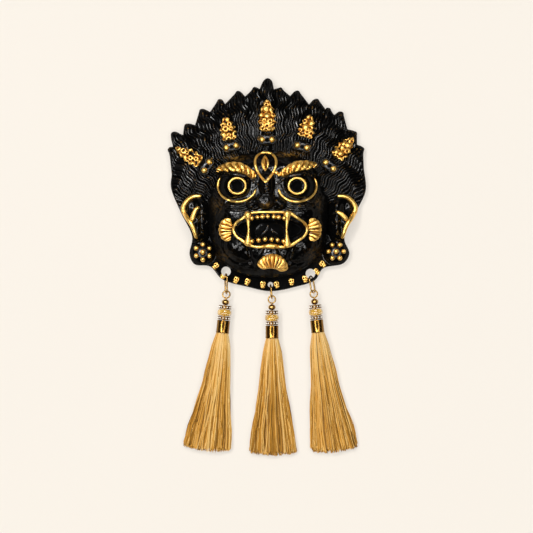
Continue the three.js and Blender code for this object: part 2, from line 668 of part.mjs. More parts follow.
// A brass cup, open towards the silk, with a bore in its closed end for the pin.
function capCup() {
  const { from, length, radius, wall } = CAP;
  const outside = [[BORE, from], [radius, from], [radius, from + length]];
  const inside = [[radius - wall, from + length], [radius - wall, from + wall], [BORE, from + wall]];
  return turned([...outside, ...inside], 9);
}

// The fall of silk threads: round in the cap, full below it, flattened and flared where it lies on the table.
function silkSkirt(sway) {
  const sides = 2 * SKIRT.flutes;
  const rings = SKIRT_SECTIONS.map(({ share, halfWidth, halfDepth }) => {
    const restHeight = halfDepth * (1 + SKIRT.fluteDepth) + 0.05;
    const height = mix(AXIS_Z, restHeight, Math.min(1, share * 4)) - AXIS_Z;
    return Array.from({ length: sides }, (_, j) => {
      const turn = (2 * Math.PI * j) / sides;
      const flute = 1 + SKIRT.fluteDepth * (j % 2 ? 1 : -1) * share;
      const across = Math.cos(turn) * halfWidth * flute + sway * share ** 1.5;
      const along = mix(SKIRT.neck, SKIRT.end, share) - SKIRT.hem * share * Math.cos(turn) ** 2;
      return point(across, -along, height + Math.sin(turn) * halfDepth * flute);
    });
  });
  return skinOver(rings);
}

function tassel({ name, hole, loop, lean, ringTurn, sway }) {
  const mesh = (piece, geometry, material) => {
    const made = new THREE.Mesh(geometry, material);
    made.name = `${name}_${piece}`;
    return made;
  };
  const ringTop = point(hole[0], hole[1] + FACE_Y - hole[2] + RING.holeGap + 2 * RING.wire, RING.z);
  const ringFoot = point(loop[0], loop[1] + EYE_RADIUS - WIRE - RING.eyeGap - 2 * RING.wire, RING.z);
  const oval = hangingRing(ringTop.distanceTo(ringFoot)).rotateY(radians(ringTurn));
  const ring = mesh("hanging_ring", oval, BRASS);
  ring.position.lerpVectors(ringTop, ringFoot, 0.5);
  ring.rotation.z = Math.atan2(ringFoot.x - ringTop.x, ringTop.y - ringFoot.y);
  const string = new THREE.Group();
  string.position.set(loop[0], loop[1], AXIS_Z);
  string.rotation.z = radians(lean);
  string.add(
    mesh("eye_pin", eyePin(), BRASS),
    mesh("ball_bead", ballBead(), BRASS),
    mesh("upper_rondelle", rondelle(RONDELLE.from[0]), BRASS),
    mesh("crystal_bead", crystalBead(), CHAMPAGNE_GLASS),
    mesh("lower_rondelle", rondelle(RONDELLE.from[1]), BRASS),
    mesh("tassel_cap", capCup(), BRASS),
    mesh("silk_skirt", silkSkirt(sway), SILK),
  );
  const group = new THREE.Group();
  group.add(ring, string);
  return group;
}

// The whole part

const mask = new THREE.Mesh(geometryOf(maskCasting()), LACQUER);
mask.name = "mask_casting";
mask.position.y = FACE_Y;

const wallMask = new THREE.Group();
wallMask.add(mask, ...TASSELS.map(tassel));
const middle = new THREE.Box3().setFromObject(wallMask, true).getCenter(point(0, 0, 0));
wallMask.position.set(-middle.x, -middle.y, 0);

export default wallMask;
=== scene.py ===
"""A kirtimukha wall mask on its back: a cast face in black and gold lacquer with three silk tassels."""

import math

import bpy
import numpy as np
from mathutils import Matrix, Vector


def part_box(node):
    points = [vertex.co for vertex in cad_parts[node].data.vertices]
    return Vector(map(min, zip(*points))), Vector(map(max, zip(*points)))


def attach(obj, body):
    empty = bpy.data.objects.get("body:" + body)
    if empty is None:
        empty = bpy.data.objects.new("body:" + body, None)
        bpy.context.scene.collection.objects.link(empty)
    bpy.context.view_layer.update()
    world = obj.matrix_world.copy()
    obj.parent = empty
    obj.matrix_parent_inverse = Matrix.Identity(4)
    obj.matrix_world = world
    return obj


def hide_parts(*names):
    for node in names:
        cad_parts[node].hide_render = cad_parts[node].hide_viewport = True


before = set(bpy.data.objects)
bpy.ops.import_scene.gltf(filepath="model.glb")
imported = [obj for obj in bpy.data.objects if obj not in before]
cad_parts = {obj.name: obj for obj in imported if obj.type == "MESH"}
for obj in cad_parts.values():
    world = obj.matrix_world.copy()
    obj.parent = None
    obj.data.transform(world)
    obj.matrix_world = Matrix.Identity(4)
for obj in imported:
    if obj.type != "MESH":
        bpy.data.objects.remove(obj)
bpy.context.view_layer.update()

# Sizes in millimetres. Mask places are measured from the middle of the face.

MM = 0.001
SIDES = (-1, 1)
CURVE_STEPS = 16
NOISE_ROUGHNESS = 0.55

PLATE_EDGE, PLATE_HEART = 4.4, 12.5
HAIR_FADE = (-14.0, 10.0)
HAIR_SWEEP = 0.5
EDGE_ROUND = 1.3
LOCK_RELIEF = 0.9
STRAND_FOCUS = np.array([0.0, -35.0])
STRAND_PITCH, STRAND_HEIGHT, STRAND_WAVE = 2.0, 1.15, 8.5
FAN_SIDE_REACH, FAN_TOP_REACH = 36.0, 60.0
STRAND_COLUMNS, EDGE_COLUMN = 6.5, 0.7
PLATE_ROWS, PLATE_INNER_SHARE = 32, 0.56
PLATE_OUTER_SHARE, PLATE_LEAST, OUTLINE_REACH = 0.975, 1.6, 75.0
RIM_RINGS, EDGE_TILTS = ((0.994, 0.0), (1.0, 0.4), (1.0, 1.2)), (90.0, 65.0, 40.0, 15.0)
LOCK_STEPS, LOWER_STEPS = 200, 2000
HAIRLINE, STRAND_FADE, STRAND_END = (-13.0, -2.0), (1.0, 0.94), (1.005, 0.98)
STRAND_DRIFT = [(2.4, 5.0, 0.0), (1.4, 13.0, 1.0)]
STRAND_SWING, STRAND_RIPPLE, RIPPLE_LENGTH, RIPPLE_TURNS = 0.42, 0.5, 3.1, 9.0
STRAND_KINDS, FIRST_STRAND, STRAND_ROUNDNESS = 1024, 500.0, 0.8
STRAND_SWELL, SWELL_LENGTH, SWELL_SHIFT = 0.1, 2.6, 2.4

DOME_X, DOME_Y = 0.8, -9.5
DOME_HALF_WIDTH, DOME_HALF_HEIGHT = 34.0, 37.0
DOME_FOOT, DOME_RIM, DOME_CROWN, DOME_POWER = 2.0, 6.0, 24.0, 2.4
DOME_FULLNESS, SOFT_FADE, FACE_GRID = 0.55, 3.0, 168
CAVITY_X, CAVITY_Y = 1.0, -7.0
CAVITY_HALF_WIDTH, CAVITY_HALF_HEIGHT, CAVITY_DEPTH = 25.0, 29.0, 12.5

HOLES = {"left": (-22.7, -42.8, 2.7), "middle": (2.2, -50.2, 1.5), "right": (24.6, -44.0, 2.7)}
DIMPLE_X, DIMPLE_Y, DIMPLE_RADIUS, DIMPLE_DEPTH = 2.0, -48.8, 2.3, 1.2
GROOVE_WIDTH, GROOVE_DEPTH, GROOVE_LENGTH = 5.0, 2.0, 12.0

LOCK_TIPS = np.array([
    (54.8, 26.0), (50.6, 35.1), (42.9, 46.3), (35.5, 48.7), (28.7, 53.9), (17.9, 58.5), (8.2, 60.3),
    (0.7, 65.5),
    (-7.1, 60.5), (-16.5, 58.3), (-27.0, 53.6), (-37.3, 47.9), (-45.7, 39.6), (-53.3, 34.8), (-55.4, 25.4),
])
LOCK_VALLEYS = np.array([
    (50.7, 28.3), (45.4, 36.8), (37.9, 44.9), (33.6, 47.3), (23.8, 50.8), (13.2, 55.5), (4.2, 59.2),
    (-3.9, 59.4), (-12.0, 55.2), (-23.2, 51.0), (-31.6, 46.6), (-40.0, 39.2), (-46.8, 33.4), (-52.4, 27.0),
])
CROWN_LOCK = 7
TIP_HALF_WIDTH, CROWN_TIP_HALF_WIDTH, TIP_DROP = 1.8, 2.2, 0.6
LOWER_EDGE = np.array([
    (-53.1, 11.5), (-53.5, 4.2), (-47.8, -10.2), (-41.6, -23.4), (-43.1, -33.2), (-40.4, -38.7),
    (-31.6, -40.1), (-24.8, -47.2), (-10.4, -51.5), (2.0, -53.9), (16.0, -51.5), (27.3, -47.6),
    (31.6, -41.2), (43.2, -38.2), (46.4, -32.8), (43.6, -24.2), (50.0, -9.8), (55.6, 2.6), (54.5, 15.4),
])

EYE_X, EYE_Y, EYE_SPREAD = 0.4, 4.9, 16.7
EYEBALL_RADIUS, EYEBALL_HEIGHT = 10.5, 14.2
EYE_RING_RADIUS, EYE_RING_SQUASH, EYE_RING_WIRE = 4.7, 0.93, 0.7
PUPIL_RADIUS, PUPIL_DEPTH = 4.0, 4.0
PUPIL_EDGE, EYE_HOLLOW, EYE_HOLLOW_DEPTH, EYE_BLEND = (0.2, -0.3), (10.0, 8.0), 1.2, 0.4
LID_HALF_WIDTH, LID_HALF_HEIGHT, LID_RISE, LID_WIRE = 10.8, 9.2, 0.3, 0.72
LID_FROM, LID_TO = 152.0, 348.0
LID_FOLD = [(4.9, 5.4), (9.3, 9.0), (16.1, 11.0), (22.1, 11.2), (26.9, 9.6)]
LID_FOLD_WIRE = 1.0
LID_FOLD_SWELL = (0.7, 0.4)
BROW_LINES = [
    [(-28.4, 13.6), (-22.6, 15.3), (-15.6, 15.2), (-10.2, 12.7), (-6.2, 9.2)],
    [(29.2, 16.5), (23.6, 16.5), (17.1, 15.8), (11.8, 13.5), (7.8, 10.6)],
]
BROW_HALF_WIDTH, BROW_RIBS = 3.2, 7
BROW_GIRTH = [0.0, 0.1, 0.3, 0.55, 0.85, 1.0], [0.35, 0.6, 0.92, 1.0, 0.75, 0.6]
BROW_FLATNESS, BROW_LEAN, BROW_GROOVE = 0.85, 0.55, 0.8
BROW_BEADS = [(5.5, 12.2, 1.3), (6.9, 11.0, 1.0)]
DROP_X, DROP_Y, DROP_HALF_WIDTH, DROP_HALF_HEIGHT, DROP_WIRE = -0.5, 15.3, 7.7, 8.4, 0.78
SPINDLE_X, SPINDLE_Y, SPINDLE_HALF_WIDTH, SPINDLE_HALF_HEIGHT, SPINDLE_SLIT = -0.8, 17.6, 2.3, 4.4, 0.5
SPINDLE_RISE, SPINDLE_SLOPE, SPINDLE_TAPER = 1.4, 0.24, 0.45
SLIT_X, SLIT_DEPTH, SLIT_ENDS = 0.5, 1.3, (0.75, 0.5)
# Nose: middles and half sizes of its ellipsoids. Facets: place, height and reach of each plane.
NOSE = [
    (0.0, 5.0, 19.0, 5.0, 9.5, 8.0),
    (-0.6, -3.6, 25.5, 5.4, 4.6, 7.5),
    (-7.0, -5.2, 23.5, 4.6, 3.5, 5.0),
    (6.4, -5.4, 23.5, 4.6, 3.5, 5.0),
]
NOSE_BLEND, FACET_SLOPE_X, FACET_SLOPE_Y = 1.2, 0.2, -0.18
NOSTRILS = [(-6.5, -6.2), (5.2, -6.4)]
NOSE_FACETS = [(-1.5, -2.6, 32.0, 3.6), (-7.6, -4.0, 27.8, 2.6), (6.2, -4.4, 27.8, 2.2)]
NOSTRIL_REACH, NOSTRIL_DEPTH = (1.7, 1.3), 3.2
BRIDGE_FOLDS, FOLD_WIRE = [5.0, 3.7, 2.4, 1.1, -0.1], 0.7
TONGUE_FOLDS = [[(0.9, -16.4), (0.1, -19.6), (-3.2, -23.0)], [(2.3, -19.0), (4.4, -21.0), (6.6, -22.0)]]
# Crumpled skin: waves across and along, each with its bend and the wave of that bend.
NOSE_CRUMPLE, NOSE_CRUMPLE_HEIGHT = ((3.7, 1.0, 2.0), (3.4, 1.0, 2.2)), 0.3
NOSE_CRUMPLE_PATCH = (-1.2, -2.8, 3.4, 2.4)
LUMPS, LUMP_HEIGHT = ((0.9, 1.3, 0.7), (0.8, 1.1, 0.6)), 0.22
SMALL_LUMPS, SMALL_LUMP_HEIGHT = ((2.3, 1.7, 1.9), (2.1, 1.5, 1.7)), 0.1
EAR_CURLS, EAR_CURL_HEIGHT, EAR_CURL_PATCH = ((1.5, 1.2, 0.8), (1.1, 1.2, 0.9)), 0.8, (34.5, -12.0, 3.4, 13.0)
# Folds: places, sizes and the heights between which each one fades.
FOREHEAD_PATCH, FOREHEAD_BOW = (0.5, 23.5, 20.0, 3.0), 0.02
FOREHEAD_PITCH, FOREHEAD_HEIGHT = 3.4, 0.4
CHEEK_LINE_X, CHEEK_LINE_Y, CHEEK_LINE_SPREAD, CHEEK_LINE_SQUASH = 0.6, -22.0, 12.0, 0.9
CHEEK_LINE_RADIUS, CHEEK_LINE_WIDTH, CHEEK_LINE_DEPTH = 19.0, 1.2, 1.3
CHEEK_PATCH_SPREAD, CHEEK_PATCH = 18.0, (-5.5, 8.0, 6.0)
BAG_SQUASH, BAG_START, BAG_PITCH, BAG_HEIGHT = 1.08, 11.4, 2.6, 0.45
BAG_INNER, BAG_OUTER, BAG_UPPER = (11.2, 12.0), (17.5, 15.0), (3.0, -3.0)
CREASE_SPREAD, CREASE_DROP, CREASE_SLOPE, CREASE_WIDTH, CREASE_DEPTH = 12.6, 10.0, 0.3, 1.2, 1.4
CREASE_UPPER, CREASE_LOWER = (-27.0, -30.0), (-43.0, -38.0)
JOWL_SPREAD, JOWL_Y, JOWL_RADIUS, JOWL_WIDTH, JOWL_DEPTH = 15.0, -27.0, 11.0, 1.1, 0.9
JOWL_UPPER = (-20.0, -26.0)
# Gold dust: middle, reach and strength of each spot.
DUST_SPOTS = [
    (13.6, 22.4, 6.0, 1.2, 0.7),
    (-17.6, 20.6, 5.0, 1.2, 0.7),
    (0.4, -5.6, 2.6, 1.0, 0.7),
    (-27.0, -6.0, 3.0, 4.0, 0.14),
    (28.5, -5.0, 2.5, 3.0, 0.18),
    (27.0, -33.0, 4.0, 4.0, 0.16),
    (-24.0, -34.0, 4.0, 3.0, 0.12),
]
# Soft forms: middle, reach and height of each.
SOFT_FORMS = {
    "muzzle": (0.8, -19.5, 17.0, 9.0, 4.5),
    "left cheek": (-20.5, -8.0, 8.0, 7.0, 4.0),
    "right cheek": (22.5, -8.0, 8.0, 7.0, 4.0),
    "left brow ridge": (-14.5, 16.0, 11.0, 5.0, 5.0),
    "right brow ridge": (16.5, 16.0, 11.0, 5.0, 5.0),
    "left jowl": (-20.0, -31.0, 8.0, 7.0, 3.5),
    "right jowl": (23.0, -31.0, 8.0, 7.0, 3.5),
    "chin": (2.5, -37.5, 10.0, 6.0, 6.0),
}
MOUTH_X, MOUTH_Y, MOUTH_HALF_WIDTH, MOUTH_HALF_HEIGHT, MOUTH_FLAT = 2.1, -19.4, 20.5, 9.7, 10.8
MOUTH_FLOOR, LIP_WIRE = 18.2, 0.8
THROAT_WIDTH_SHARE, THROAT_HEIGHT_SHARE = 0.9, 0.62
THROAT_EDGE, TONGUE_DROP = (1.03, 0.95), 2.0
TONGUE_HALF_WIDTH, TONGUE_HALF_HEIGHT, TONGUE_RISE = 8.5, 6.5, 0.5
TOOTH_RADIUS = 1.35
# Teeth: first and last place across, place along, bow and count of each row.
TOOTH_ROWS = [(-8.0, 9.8, -13.1, 0.9, 7), (-8.0, 9.6, -25.9, 1.2, 6)]
# Fangs: side, upper or lower lip, and the root's share of the way to that lip.
FANG_X, FANG_SPREAD, FANG_ROOT, FANG_TIP, FANG_LEAN = 0.6, 11.0, 2.6, 0.58, 0.5
UPPER_FANGS, LOWER_FANGS = [(-1, 1, 0.93), (1, 1, 0.97)], [(-1, -1, 0.84), (1, -1, 0.95)]
FANG_TAPER, FANG_STEPS = 2.2, 24
CHEEK_SHELL_X, CHEEK_SHELL_Y, CHEEK_SHELL_SPREAD = 2.0, -19.5, 13.6
CHEEK_SHELL_REACH, CHEEK_SHELL_ARC, CHEEK_SHELL_RIBS = (11.0, 10.4), 72.0, 7
CHIN_SHELL_X, CHIN_SHELL_Y, CHIN_SHELL_REACH = 2.9, -42.6, (6.5, 5.6)
CHIN_SHELL_ARC, CHIN_SHELL_RIBS, CHIN_SHELL_TURN = 160.0, 10, 81.0
SHELL_HALF_WIDTH, SHELL_FLATNESS, SHELL_LIFT = 4.3, 0.5, 0.5
SHELL_GROOVE, SHELL_SWELL, CHEEK_SHELL_BLUNT, CHIN_SHELL_BLUNT = 0.55, (0.62, 0.38), 0.3, 0.09
EAR_X, EAR_WIRE = 1.6, 1.3
EAR_SWELL, EAR_BLEND = (0.75, 0.35), 0.8
EAR_RIM = [
    (37.8, -0.5), (42.9, -1.0), (46.5, -3.8), (48.2, -7.6), (46.7, -11.5), (43.2, -17.0), (40.6, -24.6),
]
EAR_FOLDS = [[(-37.4, -6.6), (-39.4, -8.2), (-41.9, -14.9)], [(38.6, -9.0), (41.8, -10.8), (44.9, -14.1)]]
EAR_FORM = (39.5, -13.0, 2.0, 8.2, 15.5, 9.5)
LOBE_FORM = (37.4, -32.5, 2.0, 7.6, 7.4, 7.0)
# Hollows and swellings of an ear: height, middle and reach of each.
EAR_HOLLOWS = [(-3.6, 42.4, -7.6, 2.6, 4.6), (-2.2, 40.2, -18.5, 1.5, 4.2), (1.3, 37.6, -13.5, 1.3, 7.0)]
ROSETTES = [(-35.6, -31.9, 30.0), (38.9, -31.6, 0.0)]
ROSETTE_RADIUS, ROSETTE_BEADS, ROSETTE_BEAD_RADIUS = 4.2, 6, 1.5

# Crown flames: foot, lean, length, width, and how far below the foot the seat is.
FLAMES = [
    (38.8, 20.6, -40.0, 15.4, 9.4, 5.6),
    (21.2, 31.8, -15.0, 13.6, 10.0, 5.0),
    (0.3, 35.2, 0.0, 18.4, 10.4, 4.3),
    (-20.4, 30.4, 12.0, 13.9, 9.8, 3.6),
    (-36.6, 18.0, 59.0, 16.8, 8.8, 3.9),
]
FLAME_LOBES, FLAME_SCALLOP, FLAME_RISE, FLAME_SINK = 5, 0.26, 0.8, 3.0
FLAME_CURL_PITCH, FLAME_CURL_RISE, FLAME_CROWDING, FLAME_SHIFT = 3.4, 2.1, 1.15, 0.6
FLAME_STEPS, FLAME_FRONT_STEPS, FLAME_BACK_TURNS = 54, 39, [1.25, 1.5, 1.75]
SEAT_FORM = (4.4, 4.0, 2.4)
STUD_RADIUS, STUD_SPREAD, SOCKET_RADIUS, SOCKET_WIRE = 1.7, 2.7, 2.3, 0.55
SOCKET_HEIGHT_SHARE, STUD_HEIGHT_SHARE = 0.6, 0.75

COLLAR_LINE = [
    (-28.6, -39.4), (-23.6, -45.4), (-10.6, -48.6), (1.8, -50.4), (14.0, -48.6), (25.2, -45.4), (31.6, -38.4),
]
COLLAR_STEPS = 400
SKULL_SHARES = [0.005, 0.107, 0.219, 0.316, 0.445, 0.559, 0.686, 0.8, 0.912, 0.995]
SKULL_HALF_WIDTH, SKULL_HALF_HEIGHT, SKULL_RISE = 1.6, 2.05, 1.3
SKULL_EYES, SKULL_EYE_DEPTH = (0.42, 0.25, 0.24, 0.22), 0.8
SKULL_JAW, SKULL_JAW_WIDTH, SKULL_JAW_DEPTH, SKULL_JAW_TAPER = -0.45, 0.13, 0.35, 0.18

WIRE = 0.42
RING_HEIGHT, RING_WIRE, RING_Z, RING_HOLE_GAP, RING_EYE_GAP = 6.4, 0.45, 3.3, 0.8, 0.5
RING_TURN = {"left": 12.0, "middle": 4.0, "right": -22.0}
EYE_LOOP_RADIUS, PIN_END = 2.02, 16.4
BALL_FROM, BALL_LENGTH, BALL_RADIUS = 2.75, 3.2, 2.05
RONDELLE_FROM = {"upper": 6.25, "lower": 12.4}
RONDELLE_LENGTH, RONDELLE_RADIUS, RONDELLE_WAIST, STONES = 1.85, 3.5, 2.7, 11
RONDELLE_RIM, STONE_RADIUS, STONE_SETTING = RONDELLE_LENGTH * 0.23, RONDELLE_LENGTH * 0.25, 0.4
CRYSTAL_FROM, CRYSTAL_LENGTH, CRYSTAL_RADIUS, CRYSTAL_FACETS = 8.4, 3.7, 4.0, 12
CAP_FROM, CAP_LENGTH, CAP_RADIUS, CAP_WALL = 14.55, 7.1, 3.7, 0.45
SILK_NECK, SILK_HEM = 19.2, 1.6
SILK_END = {"left": 88.6, "middle": 87.6, "right": 89.6}
# Silk: share of its length, half width and half depth of each section.
SILK_SECTIONS = np.array([
    (0.0, 2.7, 2.7), (0.036, 3.0, 2.9), (0.08, 4.1, 3.2), (0.152, 5.2, 3.3), (0.28, 6.3, 3.2),
    (0.49, 7.9, 3.0), (0.7, 10.2, 2.7), (0.86, 12.3, 2.5), (1.0, 13.4, 2.4),
])
SILK_SWAY = {"left": -2.3, "middle": 0.3, "right": 2.2}
SILK_AXIS = 4.05
THREADS, THREAD_BUNDLES, THREAD_STEPS, THREAD_RADIUS = 1650, 400, 14, 0.18
# The silk's heart takes a dark tint: painted shade seen between the threads.
CORE_END, CORE_WIDTH, CORE_DEPTH, CORE_SHADE_TINT, SILK_REST = 0.97, 0.93, 0.86, 0.12, 0.1
SILK_CLEARANCE = 0.06

PHOTO_WIDTH = 533 * 0.56
FACE_BELOW_PHOTO_TOP = 195 * 0.56
CAMERA_HEIGHT = 4000.0
FLOOR_HALF = 2500.0
KEY_PLACE, KEY_SIZE, KEY_POWER = (-0.66, 0.58, 1.7), 0.3, 9.0
SENSOR_WIDTH = 36.0

mask_low, mask_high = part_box("mask_casting")
FACE = np.array([mask_low.x / MM + 55.45, mask_high.y / MM - 65.54, 0.0])


# Paths and skins


def catmull_rom(before, start, end, after, count):
    """Points from start to end on a centripetal curve."""
    t1 = np.linalg.norm(start - before) ** 0.5
    t2 = t1 + np.linalg.norm(end - start) ** 0.5
    t3 = t2 + np.linalg.norm(after - end) ** 0.5
    t = np.linspace(t1, t2, count, endpoint=False)[:, None]
    a = ((t1 - t) * before + t * start) / t1
    b = ((t2 - t) * start + (t - t1) * end) / (t2 - t1)
    c = ((t3 - t) * end + (t - t2) * after) / (t3 - t2)
    ab = ((t2 - t) * a + t * b) / t2
    bc = ((t3 - t) * b + (t - t1) * c) / (t3 - t1)
    return ((t2 - t) * ab + (t - t1) * bc) / (t2 - t1)


def smooth_path(knots, steps, closed=False):
    """Evenly spaced points on a smooth curve through the knots; a closed one leaves out its last point."""
    knots = np.asarray(knots, float)
    if closed:
        run = np.vstack([knots[-1:], knots, knots[:2]])
    else:
        run = np.vstack([2 * knots[:1] - knots[1:2], knots, 2 * knots[-1:] - knots[-2:-1]])
    fine = [catmull_rom(*four, CURVE_STEPS) for four in zip(run, run[1:], run[2:], run[3:])]
    fine = np.vstack(fine + [run[-2:-1]])
    travelled = np.concatenate([[0.0], np.cumsum(np.linalg.norm(np.diff(fine, axis=0), axis=1))])
    stops = np.linspace(0.0, travelled[-1], steps + 1)
    path = np.stack([np.interp(stops, travelled, axis) for axis in fine.T], axis=1)
    return path[:-1] if closed else path


def smooth_step(low, high, value):
    share = np.clip((value - low) / (high - low), 0.0, 1.0)
    return share * share * (3.0 - 2.0 * share)


def shares(path):
    """The share of the way along a path, at each of its points."""
    return np.linspace(0.0, 1.0, len(path))


def full_turn(count):
    """Angles once round."""
    return np.linspace(0.0, 2 * math.pi, count, endpoint=False)


def level(path, height):
    """A plane path at one height."""
    return np.column_stack([path, np.full(len(path), height)])


def arc(x, y, reach_x, reach_y, start, end, count):
    """Points on part of an ellipse, between two angles."""
    turn = np.radians(np.linspace(start, end, count))
    return np.column_stack([x + reach_x * np.cos(turn), y + reach_y * np.sin(turn)])


def circle(x, y, reach_x, reach_y, count, start=0.0):
    """Points once round an ellipse."""
    return arc(x, y, reach_x, reach_y, start, start + 360.0, count + 1)[:-1]


def both(make):
    """A form on each side."""
    return [make(side) for side in SIDES]


def band_faces(rows, columns, looped=False):
    """Quads between rings of points that are numbered ring by ring."""
    row = np.arange(rows if looped else rows - 1)[:, None]
    column = np.arange(columns)[None, :]
    low, high = row * columns, (row + 1) % rows * columns
    ahead = (column + 1) % columns
    quads = np.stack([low + column, low + ahead, high + ahead, high + column], axis=-1)
    return quads.reshape(-1, 4).tolist()


def cap_faces(ring, middle):
    """Triangles that close a ring of point numbers, seen counterclockwise."""
    return [(middle, a, b) for a, b in zip(ring, ring[1:] + ring[:1])]


def loft(rings, looped=False):
    """A closed skin over rings of points, each counterclockwise as seen from the last one."""
    rings = np.asarray(rings, float)
    rows, columns = rings.shape[:2]
    points = rings.reshape(-1, 3)
    faces = band_faces(rows, columns, looped)
    if not looped:
        first = list(range(columns))[::-1]
        last = list(range((rows - 1) * columns, rows * columns))
        points = np.vstack([points, rings[0].mean(0), rings[-1].mean(0)])
        faces += cap_faces(first, rows * columns) + cap_faces(last, rows * columns + 1)
    return points, faces


def sweep(path, radius, sides, flatness=1.0, looped=False):
    """A bar along a more or less level path. Its radius and flatness may change along it and round it."""
    ahead = np.roll(path, -1, 0) - np.roll(path, 1, 0) if looped else np.gradient(path, axis=0)
    ahead /= np.linalg.norm(ahead, axis=1, keepdims=True)
    side = np.cross((0.0, 0.0, 1.0), ahead)
    side /= np.linalg.norm(side, axis=1, keepdims=True)
    over = np.cross(ahead, side)
    turn = full_turn(sides) + math.pi / 2
    radius = np.asarray(radius, float)
    if radius.ndim == 1:
        radius = radius[:, None]
    across, up = radius * np.cos(turn), radius * np.sin(turn) * flatness
    rings = path[:, None] + across[..., None] * side[:, None] + up[..., None] * over[:, None]
    return loft(rings, looped)


def rounded_ends(count, blunt=0.06):
    """Shares of a bar's radius along it, full but for its rounded ends."""
    share = np.linspace(0.0, 1.0, count)
    near = np.minimum(share, 1.0 - share) / blunt
    return np.sqrt(np.clip(1.0 - (1.0 - np.clip(near, 0.02, 1.0)) ** 2, 0.0, 1.0))


def ball(x, y, z, rx, ry=None, rz=None, around=14, down=7):
    """A ball or an ellipsoid, as rings from its foot to its top."""
    ry, rz = ry or rx, rz or rx
    tilt = np.linspace(-math.pi / 2, math.pi / 2, down + 2)[1:-1]
    turn = full_turn(around)
    rings = np.stack([
        x + rx * np.cos(tilt)[:, None] * np.cos(turn),
        y + ry * np.cos(tilt)[:, None] * np.sin(turn),
        np.broadcast_to(z + rz * np.sin(tilt)[:, None], (down, around)),
    ], axis=-1)
    points, faces = loft(rings)
    points[-2:, 2] = z - rz, z + rz
    return points, faces


def disc_grid(count):
    """An even square grid pressed into a unit disc: distance from the middle and direction of each point."""
    step = np.linspace(-1.0, 1.0, count)
    a, b = np.meshgrid(step, step)
    flat = np.abs(a) > np.abs(b)
    distance = np.where(flat, a, b)
    safe = np.where(distance == 0.0, 1.0, distance)
    turn = np.where(flat, math.pi / 4 * b / safe, math.pi / 2 - math.pi / 4 * a / safe)
    return np.abs(distance), np.arctan2(distance * np.sin(turn), distance * np.cos(turn))


def relief(x, y, z, foot):
    """A closed skin under a square grid of heights, with a level foot."""
    count = len(x)
    number = np.arange(count * count).reshape(count, count)
    points = np.stack([x, y, z], axis=-1).reshape(-1, 3)
    quads = [number[:-1, :-1], number[:-1, 1:], number[1:, 1:], number[1:, :-1]]
    faces = np.stack(quads, axis=-1).reshape(-1, 4).tolist()
    border = np.concatenate([number[0, :-1], number[:-1, -1], number[-1, :0:-1], number[:0:-1, 0]])
    skirt = points[border] * (1.0, 1.0, 0.0) + (0.0, 0.0, foot)
    low = np.arange(len(border)) + len(points)
    middle = len(points) + len(border)
    points = np.vstack([points, skirt, skirt.mean(0)])
    walls = np.stack([low, np.roll(low, -1), np.roll(border, -1), border], axis=-1).tolist()
    return points, faces + walls + cap_faces(low.tolist()[::-1], middle)


def gathered(skins):
    """Several skins as one list of points and faces."""
    points, faces, start = [], [], 0
    for skin_points, skin_faces in skins:
        points.append(skin_points)
        faces += [[start + corner for corner in face] for face in skin_faces]
        start += len(skin_points)
    return np.vstack(points), faces


def new_object(name, points, faces, materials, index=0, place=(0.0, 0.0, 0.0)):
    """A mesh object in metres from points in millimetres."""
    mesh = bpy.data.meshes.new(name)
    mesh.from_pydata(((points + np.asarray(place)) * MM).tolist(), [], faces)
    for material in materials:
        mesh.materials.append(material)
    mesh.polygons.foreach_set("material_index", [index] * len(faces))
    mesh.update()
    made = bpy.data.objects.new(name, mesh)
    bpy.context.collection.objects.link(made)
    return made


def combine(base, tool, operation):
    """Joins another closed mesh to the base, or cuts it out, and takes that tool away."""
    change = base.modifiers.new("combine", "BOOLEAN")
    change.operation = operation
    change.solver = "MANIFOLD"
    change.object = tool
    flatten(base)
    bpy.data.objects.remove(tool)


def flatten(made):
    """Turns an object's modifiers into plain mesh."""
    depsgraph = bpy.context.evaluated_depsgraph_get()
    mesh = bpy.data.meshes.new_from_object(made.evaluated_get(depsgraph), depsgraph=depsgraph)
    made.modifiers.clear()
    made.data = mesh


def shade_smooth(made, crease_degrees):
    """Smooth shading that keeps edges sharper than the crease angle."""
    made.data.shade_smooth()
    made.data.set_sharp_from_angle(angle=math.radians(crease_degrees))


# Node trees


class Wire:
    """A socket in a node tree. Sums made with it add Math nodes, and node() adds any other node."""

    def __init__(self, tree, socket=None):
        self.tree = tree
        self.socket = socket

    def node(self, kind, sockets=None, out=0, **settings):
        """Adds a node, and is a wire from one of its outputs."""
        made = self.tree.nodes.new(kind)
        for name, value in settings.items():
            if name == "curve":
                set_curve(made.mapping, value)
            else:
                setattr(made, name, value)
        for name, value in (sockets or {}).items():
            if isinstance(value, Wire):
                self.tree.links.new(value.socket, made.inputs[name])
            else:
                made.inputs[name].default_value = value
        return Wire(self.tree, made.outputs[out]) if made.outputs else made

    def math(self, operation, *values, clamp=False):
        return self.node("ShaderNodeMath", dict(enumerate(values)), operation=operation, use_clamp=clamp)

    def mix(self, low, high):
        """A colour between two, by this wire's value."""
        return self.node("ShaderNodeMix", {0: self, 6: low, 7: high}, out=2, data_type="RGBA")

    def __add__(self, other):
        return self.math("ADD", self, other)

    def __radd__(self, other):
        return self.math("ADD", other, self)

    def __sub__(self, other):
        return self.math("SUBTRACT", self, other)

    def __rsub__(self, other):
        return self.math("SUBTRACT", other, self)

    def __mul__(self, other):
        return self.math("MULTIPLY", self, other)

    def __rmul__(self, other):
        return self.math("MULTIPLY", other, self)

    def __truediv__(self, other):
        return self.math("DIVIDE", self, other)

    def __pow__(self, other):
        return self.math("POWER", self, other)

    def between(self, low, high):
        """This value's share of the way from low to high, held to 0 and 1."""
        share = (self - low) / (high - low)
        return self.math("ADD", share, 0.0, clamp=True)


